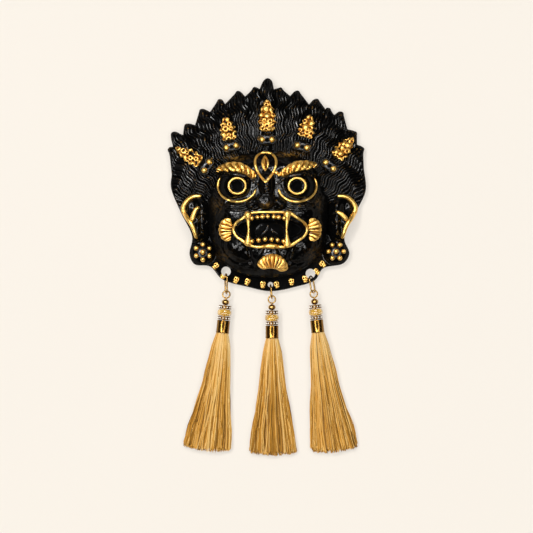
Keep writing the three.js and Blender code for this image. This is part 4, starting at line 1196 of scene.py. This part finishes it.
def collar_skulls():
    """A row of small gold skulls along the collar, each with two dark eyes and a jaw line."""
    line = smooth_path(COLLAR_LINE, COLLAR_STEPS)
    ahead = np.gradient(line, axis=0)
    distance, turn = disc_grid(16)
    square = distance * (np.abs(np.cos(turn)) ** 4 + np.abs(np.sin(turn)) ** 4) ** -0.25
    across, along = square * np.cos(turn), square * np.sin(turn)
    eye_spread, *eye = SKULL_EYES
    eyes = sum(both(lambda side: bell(across, along, side * eye_spread, *eye)))
    jaw = ridge(along, SKULL_JAW, SKULL_JAW_WIDTH)
    bulge = SKULL_RISE * (1.0 - 0.55 * distance ** 4) - SKULL_EYE_DEPTH * eyes - SKULL_JAW_DEPTH * jaw
    local_x = across * SKULL_HALF_WIDTH * (1.0 - SKULL_JAW_TAPER * (along < -0.3))
    local_y = along * SKULL_HALF_HEIGHT
    jitter = np.random.default_rng(23)
    skulls = []
    for share in SKULL_SHARES:
        number = round(share * COLLAR_STEPS)
        x, y = line[number]
        lean = math.atan2(ahead[number, 1], ahead[number, 0]) + jitter.uniform(-0.3, 0.3)
        plan_x = x + local_x * math.cos(lean) - local_y * math.sin(lean)
        plan_y = y + local_x * math.sin(lean) + local_y * math.cos(lean)
        skulls.append(relief(plan_x, plan_y, PLATE_EDGE + bulge, PLATE_EDGE - 1.5))
    return skulls


# Mask: assembly


def upright(rim, foot, top):
    """A straight block over a rim."""
    return loft([level(rim, foot), level(rim, top)])


def round_cutter(x, y, radius, foot):
    """A round pin that cuts from a height upwards."""
    return upright(circle(x, y, radius, radius, 40), foot, 40.0)


def groove_cutters():
    """Grooves behind the collar, each with room for its hole's ring."""
    half = GROOVE_WIDTH / 2
    corners = np.array([(-half, -GROOVE_LENGTH), (half, -GROOVE_LENGTH), (half, 0.0), (-half, 0.0)])
    return [upright(corners + place[:2], -3.0, GROOVE_DEPTH) for place in HOLES.values()]


def cavity_cutter():
    """The hollow behind the face."""
    size = (CAVITY_HALF_WIDTH, CAVITY_HALF_HEIGHT, CAVITY_DEPTH)
    return [ball(CAVITY_X, CAVITY_Y, 0.0, *size, around=48, down=23)]


def point_values(mesh_points, name, width, kind=float):
    """A value of every point or edge of a mesh, as rows."""
    values = np.empty(len(mesh_points) * width, dtype=kind)
    mesh_points.foreach_get(name, values)
    return values.reshape(-1, width)


def store_values(mesh, name, values):
    """Keeps a value at each point of a mesh."""
    mesh.attributes.new(name, "FLOAT", "POINT").data.foreach_set("value", values.astype(np.float32))


def store_carving(made):
    """Keeps how hollow and how steep the surface is at each point, so that the finishes can follow it."""
    mesh = made.data
    count = len(mesh.vertices)
    place = point_values(mesh.vertices, "co", 3) / MM
    normal = point_values(mesh.vertices, "normal", 3)
    ends = point_values(mesh.edges, "vertices", 2, int)
    near, far = np.vstack([ends, ends[:, ::-1]]).T
    reach = place[far] - place[near]
    length = np.maximum(np.linalg.norm(reach, axis=1), 0.05)
    bend = np.einsum("ij,ij->i", reach, normal[near]) / length
    total = np.maximum(np.bincount(near, minlength=count), 1)
    value = np.bincount(near, bend, count) / total
    for _ in range(3):
        value = 0.4 * value + 0.6 * np.bincount(near, value[far], count) / total
    x, y, _ = (place - FACE).T
    dust = sum(strength * bell(x, y, *spot) for *spot, strength in DUST_SPOTS)
    skin = smooth_step(1.1, 0.95, np.hypot((x - DOME_X) / DOME_HALF_WIDTH, (y - DOME_Y) / DOME_HALF_HEIGHT))
    skin = np.maximum(skin, smooth_step(-14.0, -24.0, y)) * (1.0 - 0.8 * bell(x, y, -0.4, -1.0, 8.0, 7.0))
    inside = smooth_step(1.55, 1.4, edge_share(x - MOUTH_X, y - MOUTH_Y, THROAT))
    inside = inside * (1.0 - bell(x, y, 1.5, -20.0, 5.5, 3.5))
    store_values(mesh, "hollow", np.clip(5.0 * value, -1.0, 1.0))
    store_values(mesh, "dust", dust)
    store_values(mesh, "skin", skin)
    store_values(mesh, "steep", np.maximum(smooth_step(0.8, 0.64, normal[:, 2]), inside))


def carved_mask():
    """The whole casting as one closed skin, black with gold ornament."""
    paints = [LACQUER, GOLD]
    mask = new_object("carved_mask", *back_plate(), paints, 0, FACE)
    first_gold = [brow(side, knots) for side, knots in zip(SIDES, BROW_LINES)] + both(lid)
    first_gold += [*both(cheek_shell), chin_shell(), lips()] + both(ear_rim)
    first_gold += [flame_leaf(flame) for flame in FLAMES] + collar_skulls()
    second_gold = [third_eye(), spindle()] + [fang(*place) for place in UPPER_FANGS] + both(eye_ring)
    second_gold += [ear_fold(line) for line in EAR_FOLDS]
    second_gold += [bead for flame in FLAMES for bead in studs(flame)]
    second_gold += [bead for place in ROSETTES for bead in rosette(*place)]
    third_gold = [fang(*place) for place in LOWER_FANGS] + teeth()
    third_gold += [set_on(x, y, 0.0, radius) for x, y, radius in BROW_BEADS]
    knobs, sockets = zip(*[seat(flame) for flame in FLAMES])
    left_sockets, right_sockets = zip(*sockets)
    layers = [
        ([face()], 0),
        ([*knobs] + both(upper_lid) + face_folds(), 0),
        (left_sockets, 0),
        (right_sockets, 0),
        (first_gold, 1),
        (second_gold, 1),
        (third_gold, 1),
    ]
    for skins, paint in layers:
        combine(mask, new_object("layer", *gathered(skins), paints, paint, FACE), "UNION")
    holes = [round_cutter(*hole, -5.0) for hole in HOLES.values()]
    dimple = round_cutter(DIMPLE_X, DIMPLE_Y, DIMPLE_RADIUS, PLATE_EDGE - DIMPLE_DEPTH)
    for cutters in (holes, [dimple], groove_cutters(), cavity_cutter()):
        combine(mask, new_object("cutters", *gathered(cutters), paints, 0, FACE), "DIFFERENCE")
    store_carving(mask)
    shade_smooth(mask, 62.0)
    return mask


# Tassels


class TasselLine:
    """The line that a tassel's pieces are threaded on, measured from the middle of its eye loop."""

    def __init__(self, name):
        ends = f"{name}_crystal_bead", f"{name}_tassel_cap"
        crystal, cap = (sum(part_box(node), Vector()) / 2 / MM for node in ends)
        self.name = name
        self.along = (cap - crystal).normalized()
        self.side = Vector((-self.along.y, self.along.x, 0.0))
        self.loop = crystal - self.along * (CRYSTAL_FROM + CRYSTAL_LENGTH / 2)

    def place(self, points, faces):
        """A skin given as across, along and up, in the part's frame."""
        turn = np.array([self.side, self.along, (0.0, 0.0, 1.0)])
        return points @ turn + np.array(self.loop), faces


def turned(profile, sides):
    """A piece turned round the tassel's line, from a closed profile of radius and distance along it."""
    profile = np.asarray(profile, float)[::-1]
    turn = full_turn(sides)
    rings = np.stack([
        profile[:, :1] * np.cos(turn),
        np.broadcast_to(profile[:, 1:], (len(profile), sides)),
        profile[:, :1] * np.sin(turn),
    ], axis=-1)
    return loft(rings, looped=True)


BORE = WIRE + 0.3


def hanging_ring(line):
    """An oval jump ring on edge, through the collar's hole and the eye loop."""
    hole_x, hole_y, radius = HOLES[line.name]
    hole = Vector((hole_x, hole_y - radius, 0.0)) + Vector(FACE)
    top = Vector((hole.x, hole.y + RING_HOLE_GAP + 2 * RING_WIRE, RING_Z))
    foot = Vector((line.loop.x, line.loop.y + EYE_LOOP_RADIUS - WIRE - RING_EYE_GAP - 2 * RING_WIRE, RING_Z))
    bend = RING_HEIGHT / 2 - RING_WIRE
    straight = ((top - foot).length - RING_HEIGHT) / 2
    oval = level(circle(0.0, 0.0, bend, bend, 64), 0.0)
    oval[:, 1] += straight * np.sign(np.sin(full_turn(64)))
    points, faces = raised_ring(oval, RING_WIRE, 12)
    lean = math.atan2(foot.x - top.x, top.y - foot.y)
    stand = Matrix.Rotation(math.radians(90.0 + RING_TURN[line.name]), 3, "Y")
    pose = Matrix.Rotation(lean, 3, "Z") @ stand
    return points @ np.array(pose).T + np.array((top + foot) / 2), faces


def eye_pin(line):
    """A wire with a loop that the ring passes through, and a shank that carries the beads."""
    loop = raised_ring(level(circle(0.0, 0.0, EYE_LOOP_RADIUS, EYE_LOOP_RADIUS, 48), 0.0), WIRE, 12)
    along = np.linspace(EYE_LOOP_RADIUS, PIN_END, 9)
    shank = sweep(np.column_stack([0 * along, along, 0 * along]), WIRE, 12)
    return line.place(*gathered([loop, shank]))


def ball_bead(line):
    half_length = BALL_LENGTH / 2
    along = np.linspace(-half_length, half_length, 17)
    reach = half_length / math.sqrt(1.0 - (BORE / BALL_RADIUS) ** 2)
    radius = BALL_RADIUS * np.sqrt(1.0 - (along / reach) ** 2)
    return line.place(*turned(np.column_stack([radius, BALL_FROM + half_length + along]), 28))


def rondelle_body(line, start):
    """Two brass rims with a waist between them for the stones."""
    rim, edge = RONDELLE_RIM, 0.1
    end = start + RONDELLE_LENGTH
    profile = [
        (BORE, start), (RONDELLE_RADIUS - edge, start), (RONDELLE_RADIUS, start + edge),
        (RONDELLE_RADIUS, start + rim), (RONDELLE_WAIST, start + rim + edge),
        (RONDELLE_WAIST, end - rim - edge), (RONDELLE_RADIUS, end - rim),
        (RONDELLE_RADIUS, end - edge), (RONDELLE_RADIUS - edge, end), (BORE, end),
    ]
    return line.place(*turned(profile, 48))


def crystal_bead(line):
    """A bead cut in rows of flat facets, every other row turned by half a facet."""
    middle = CRYSTAL_FROM + CRYSTAL_LENGTH / 2
    half = [(BORE, 1.0), (3.0, 1.0), (3.65, 0.72), (3.95, 0.36)]
    rows = half + [(CRYSTAL_RADIUS, 0.0)] + [(radius, -part) for radius, part in half[::-1]]
    rings = []
    for number, (radius, part) in enumerate(rows):
        turn = full_turn(CRYSTAL_FACETS) + math.pi / CRYSTAL_FACETS * (number % 2)
        along = np.full(CRYSTAL_FACETS, middle + part * CRYSTAL_LENGTH / 2)
        rings.append(np.column_stack([radius * np.cos(turn), along, radius * np.sin(turn)]))
    points, faces = loft(rings, looped=True)
    return line.place(points, [(a, b, c) for a, b, c, _ in faces] + [(a, c, d) for a, _, c, d in faces])


def tassel_cap(line):
    """A polished cup with crisp rims."""
    end = CAP_FROM + CAP_LENGTH
    inner = CAP_RADIUS - CAP_WALL
    profile = [
        (BORE, CAP_FROM), (CAP_RADIUS - 0.5, CAP_FROM), (CAP_RADIUS - 0.15, CAP_FROM + 0.15),
        (CAP_RADIUS, CAP_FROM + 0.5), (CAP_RADIUS - 0.07, CAP_FROM + 0.75), (CAP_RADIUS - 0.07, end - 0.7),
        (CAP_RADIUS, end - 0.55), (CAP_RADIUS, end - 0.15), (CAP_RADIUS - 0.12, end), (inner, end),
        (inner, CAP_FROM + 1.0), (BORE, CAP_FROM + 0.7),
    ]
    return line.place(*turned(profile, 56))


def silk_core(line):
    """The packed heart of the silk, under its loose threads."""
    turn = full_turn(40)
    length = SILK_END[line.name] - SILK_NECK
    stops, widths, depths = SILK_SECTIONS.T
    rings = []
    for share in np.linspace(0.0, CORE_END, 26):
        half_width, half_depth = (np.interp(share, stops, sizes) for sizes in (widths, depths))
        rest = (half_depth + SILK_REST - SILK_AXIS) * min(1.0, share * 4.0)
        rings.append(np.column_stack([
            CORE_WIDTH * half_width * np.cos(turn) + SILK_SWAY[line.name] * share ** 1.5,
            SILK_NECK + length * share - SILK_HEM * share * np.cos(turn) ** 2,
            rest + CORE_DEPTH * half_depth * np.sin(turn),
        ]))
    return line.place(*loft(rings))


def set_group_inputs(tree, made, values):
    """Sets a node modifier's named inputs."""
    change = made.modifiers.new("nodes", "NODES")
    change.node_group = tree
    for item in tree.interface.items_tree:
        if item.in_out == "INPUT" and item.name in values:
            change[item.identifier] = values[item.name]


def new_tree(name, inputs):
    """A geometry tree with named inputs, and wires to them."""
    tree = bpy.data.node_groups.new(name, "GeometryNodeTree")
    for input_name, kind in inputs.items():
        tree.interface.new_socket(input_name, in_out="INPUT", socket_type=kind)
    tree.interface.new_socket("Geometry", in_out="OUTPUT", socket_type="NodeSocketGeometry")
    source = tree.nodes.new("NodeGroupInput")
    return tree, {input_name: Wire(tree, source.outputs[input_name]) for input_name in inputs}


def end_tree(tree, geometry, material):
    """Ends a tree in plain mesh of one material."""
    real = geometry.node("GeometryNodeRealizeInstances", {0: geometry})
    coated = real.node("GeometryNodeSetMaterial", {"Geometry": real, "Material": material})
    coated.node("NodeGroupOutput", {0: coated})
    return tree


NUMBER, COUNT, PAINT = "NodeSocketFloat", "NodeSocketInt", "NodeSocketMaterial"


def silk_tree():
    """Threads that fan out from the cap to the cut end, in small bundles with their own places and tints."""
    tree, given = new_tree("silk_threads", {
        "Neck": NUMBER, "End": NUMBER, "Hem": NUMBER, "Axis": NUMBER, "Sway": NUMBER, "Thread radius": NUMBER,
        "Threads": COUNT, "Bundles": COUNT, "Seed": COUNT, "Material": PAINT,
    })
    start = Wire(tree)
    widest = float(SILK_SECTIONS[:, 1].max())

    def section(share, column):
        points = [(row[0], row[column] / widest) for row in SILK_SECTIONS]
        return widest * start.node("ShaderNodeFloatCurve", {"Value": share}, curve=points)

    def chance(low, high, offset, bundle=None):
        sockets = {2: low, 3: high, 8: given["Seed"] + offset}
        if bundle:
            sockets[7] = bundle
        return start.node("FunctionNodeRandomValue", sockets, out=1, data_type="FLOAT")

    def kept(geometry, name, value):
        sockets = {0: geometry, "Name": name, "Value": value}
        return start.node("GeometryNodeStoreNamedAttribute", sockets, data_type="FLOAT", domain="POINT")

    def recalled(name):
        return start.node("GeometryNodeInputNamedAttribute", {"Name": name}, data_type="FLOAT")

    spots = start.node("GeometryNodePoints", {"Count": given["Threads"]})
    whole = chance(0.0, 1.0, 0) * given["Bundles"]
    bundle = whole.math("FLOOR", whole)
    traits = {
        "turn": chance(0.0, 2 * math.pi, 1, bundle) + chance(-0.02, 0.02, 2),
        "out": chance(0.75, 0.98, 3, bundle) + chance(-0.05, 0.03, 4),
        "reach": chance(0.972, 0.997, 5, bundle) + chance(-0.012, 0.008, 6),
        "stray": chance(-1.0, 1.0, 7, bundle) + chance(-0.3, 0.3, 8),
        "shade": chance(-0.6, 0.6, 9, bundle) + chance(-0.7, 0.7, 10),
    }
    for name, value in traits.items():
        spots = kept(spots, name, value)
    line = start.node("GeometryNodeCurvePrimitiveLine", {"End": (0.0, 1.0, 0.0)}, mode="POINTS")
    thread = start.node("GeometryNodeResampleCurve", {"Curve": line, "Count": THREAD_STEPS})
    threads = start.node("GeometryNodeInstanceOnPoints", {"Points": spots, "Instance": thread})
    threads = start.node("GeometryNodeRealizeInstances", {0: threads})
    share = start.node("GeometryNodeSplineParameter", out=0)
    turn, out, stray = recalled("turn"), recalled("out"), recalled("stray")
    half_width, half_depth = section(share, 1), section(share, 2)
    ripple = share * 13.0 + turn * 5.0
    wander = stray * (0.2 + 0.5 * share) * ripple.math("SINE", ripple) * share.between(0.03, 0.25)
    side = turn.math("COSINE", turn)
    sink = (half_depth + SILK_REST - given["Axis"]) * share.math("MINIMUM", share * 4.0, 1.0)
    across = side * out * half_width + wander + given["Sway"] * share ** 1.5
    reach = given["End"] * recalled("reach") - given["Neck"]
    along = given["Neck"] + reach * share - given["Hem"] * share * side * side
    up = turn.math("SINE", turn) * out * half_depth + sink
    place = start.node("ShaderNodeCombineXYZ", {0: across, 1: along, 2: up})
    fall = start.node("GeometryNodeSetPosition", {"Geometry": threads, "Position": place})
    fade = 0.85 - 0.44 * share.between(0.03, 0.6)
    fall = kept(fall, "tint", fade + recalled("shade") * (0.6 + 0.05 * share))
    girth = {"Resolution": 3, "Radius": given["Thread radius"]}
    girth = start.node("GeometryNodeCurvePrimitiveCircle", girth)
    skin = start.node("GeometryNodeCurveToMesh", {"Curve": fall, "Profile Curve": girth, "Fill Caps": True})
    return end_tree(tree, skin, given["Material"])


def stone_tree():
    """Cut stones set side by side round a waist."""
    inputs = {"Stones": COUNT, "Radius": NUMBER, "Stone radius": NUMBER, "Material": PAINT}
    tree, given = new_tree("set_stones", inputs)
    start = Wire(tree)
    size = given["Stone radius"]
    ring = start.node("GeometryNodeMeshCircle", {"Vertices": given["Stones"], "Radius": given["Radius"]})
    stone = start.node("GeometryNodeMeshCone", {
        "Vertices": 8, "Side Segments": 1, "Fill Segments": 1,
        "Radius Top": size * 0.55, "Radius Bottom": size, "Depth": size * 0.7,
    })
    outward = start.node("GeometryNodeInputPosition")
    aim = start.node("FunctionNodeAlignRotationToVector", {"Vector": outward}, axis="Z")
    stones = start.node("GeometryNodeInstanceOnPoints", {"Points": ring, "Instance": stone, "Rotation": aim})
    return end_tree(tree, stones, given["Material"])


SILK_TREE, STONE_TREE = silk_tree(), stone_tree()


def grown_points(tree, values):
    """The points and faces that a geometry tree makes, and its points' tints if it stores them."""
    seed = new_object("seed", np.zeros((1, 3)), [], [])
    set_group_inputs(tree, seed, values)
    flatten(seed)
    mesh = seed.data
    points = point_values(mesh.vertices, "co", 3)
    faces = [list(face.vertices) for face in mesh.polygons]
    tints = None
    if "tint" in mesh.attributes:
        tints = point_values(mesh.attributes["tint"].data, "value", 1)[:, 0]
    bpy.data.objects.remove(seed)
    return points, faces, tints


def silk_skirt(line):
    """A bundle of silk threads over its packed heart, which is tinted dark as painted shade between the
    threads.
    """
    points, faces, tints = grown_points(SILK_TREE, {
        "Neck": SILK_NECK, "End": SILK_END[line.name], "Hem": SILK_HEM, "Axis": SILK_AXIS,
        "Sway": SILK_SWAY[line.name], "Thread radius": THREAD_RADIUS, "Threads": THREADS,
        "Bundles": THREAD_BUNDLES, "Seed": 20 + len(line.name), "Material": SILK,
    })
    core = silk_core(line)
    all_points, all_faces = gathered([core, line.place(points, faces)])
    all_points[:, 2] = np.maximum(all_points[:, 2], SILK_CLEARANCE)
    made = new_object(f"{line.name}_silk", all_points, all_faces, [SILK])
    # Painted shade: the heart is tinted dark, as the shadow among the threads.
    store_values(made.data, "tint", np.concatenate([np.full(len(core[0]), CORE_SHADE_TINT), tints]))
    return made


def rondelle(line, which):
    """A spacer with its stones."""
    start = RONDELLE_FROM[which]
    body = rondelle_body(line, start)
    points, faces, _ = grown_points(STONE_TREE, {
        "Stones": STONES, "Radius": RONDELLE_RADIUS - STONE_SETTING, "Stone radius": STONE_RADIUS,
        "Material": GLINT_PAINTED_STONE,
    })
    threaded = points[:, [0, 2, 1]] * (1.0, -1.0, 1.0) + (0.0, start + RONDELLE_LENGTH / 2, 0.0)
    skin = gathered([body, line.place(threaded, faces)])
    made = new_object(f"{line.name}_{which}_spacer", *skin, [BROWN_BRASS, GLINT_PAINTED_STONE])
    made.data.polygons.foreach_set("material_index", [0] * len(body[1]) + [1] * len(faces))
    shade_smooth(made, 30.0)
    return made


def settle(made, node):
    """Ties a finished piece to the solid it stands for."""
    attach(made, "root")
    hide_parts(node)


def tassel(name):
    """One tassel, from its ring to its silk."""
    line = TasselLine(name)
    plain = [
        (hanging_ring, AGED_BRASS, "antique_brass", 60.0),
        (eye_pin, AGED_BRASS, "antique_brass", 60.0),
        (ball_bead, AGED_BRASS, "antique_brass", 50.0),
        (crystal_bead, CRYSTAL, "champagne_crystal", 5.0),
        (tassel_cap, POLISHED_BRASS, "polished_brass", 40.0),
    ]
    for make, material, slot, crease in plain:
        node = f"{name}_{make.__name__}"
        made = new_object(f"{node}_piece", *make(line), [material])
        shade_smooth(made, crease)
        settle(made, node)
    for which in RONDELLE_FROM:
        settle(rondelle(line, which), f"{name}_{which}_rondelle")
    silk = silk_skirt(line)
    shade_smooth(silk, 80.0)
    settle(silk, f"{name}_silk_skirt")


# Studio


def floor():
    corners = np.array([(-1.0, -1.0, 0.0), (1.0, -1.0, 0.0), (1.0, 1.0, 0.0), (-1.0, 1.0, 0.0)])
    new_object("floor", corners * FLOOR_HALF, [[0, 1, 2, 3]], [pale_floor()])


def key_light():
    """A small soft box at the upper left."""
    light = bpy.data.lights.new("key", "AREA")
    light.shape = "RECTANGLE"
    light.size = light.size_y = KEY_SIZE
    light.energy = KEY_POWER
    made = bpy.data.objects.new("key", light)
    made.location = KEY_PLACE
    made.rotation_euler = (-Vector(KEY_PLACE)).to_track_quat("-Z", "Y").to_euler()
    bpy.context.collection.objects.link(made)


def studio():
    """A broad light at the upper left with a bright band in it, and little from elsewhere."""
    scene = bpy.context.scene
    scene.view_settings.view_transform = "Standard"
    world = bpy.data.worlds.new("studio")
    scene.world = world
    world.use_nodes = True
    world.node_tree.nodes.clear()
    start = Wire(world.node_tree)
    ray = start.node("ShaderNodeTexCoord", out=0)
    ray_x, ray_y, height = (start.node("ShaderNodeSeparateXYZ", {0: ray}, out=axis) for axis in range(3))
    left = (0.66 * ray_y - 0.75 * ray_x).between(-0.25, 0.3)
    broad = height.between(0.45, 0.6) * (1.0 - height.between(0.93, 0.97))
    band = height.between(0.83, 0.845) * (1.0 - height.between(0.885, 0.9))
    strength = 0.02 + 0.2 * left * broad + (7.6 + 9.2 * left) * band
    sky = start.node("ShaderNodeBackground", {"Color": (1.0, 0.985, 0.96, 1.0), "Strength": strength})
    start.node("ShaderNodeOutputWorld", {"Surface": sky})


def camera():
    """Straight over the part, as the photograph is taken."""
    lens = bpy.data.cameras.new("camera")
    lens.sensor_width = SENSOR_WIDTH
    lens.lens = SENSOR_WIDTH * (CAMERA_HEIGHT - PLATE_EDGE) / PHOTO_WIDTH
    made = bpy.data.objects.new("camera", lens)
    below_top = FACE_BELOW_PHOTO_TOP - PHOTO_WIDTH / 2
    made.location = (FACE[0] * MM, (FACE[1] + below_top) * MM, CAMERA_HEIGHT * MM)
    bpy.context.collection.objects.link(made)
    bpy.context.scene.camera = made


settle(carved_mask(), "mask_casting")
for side_name in HOLES:
    tassel(side_name)
floor()
studio()
key_light()
camera()
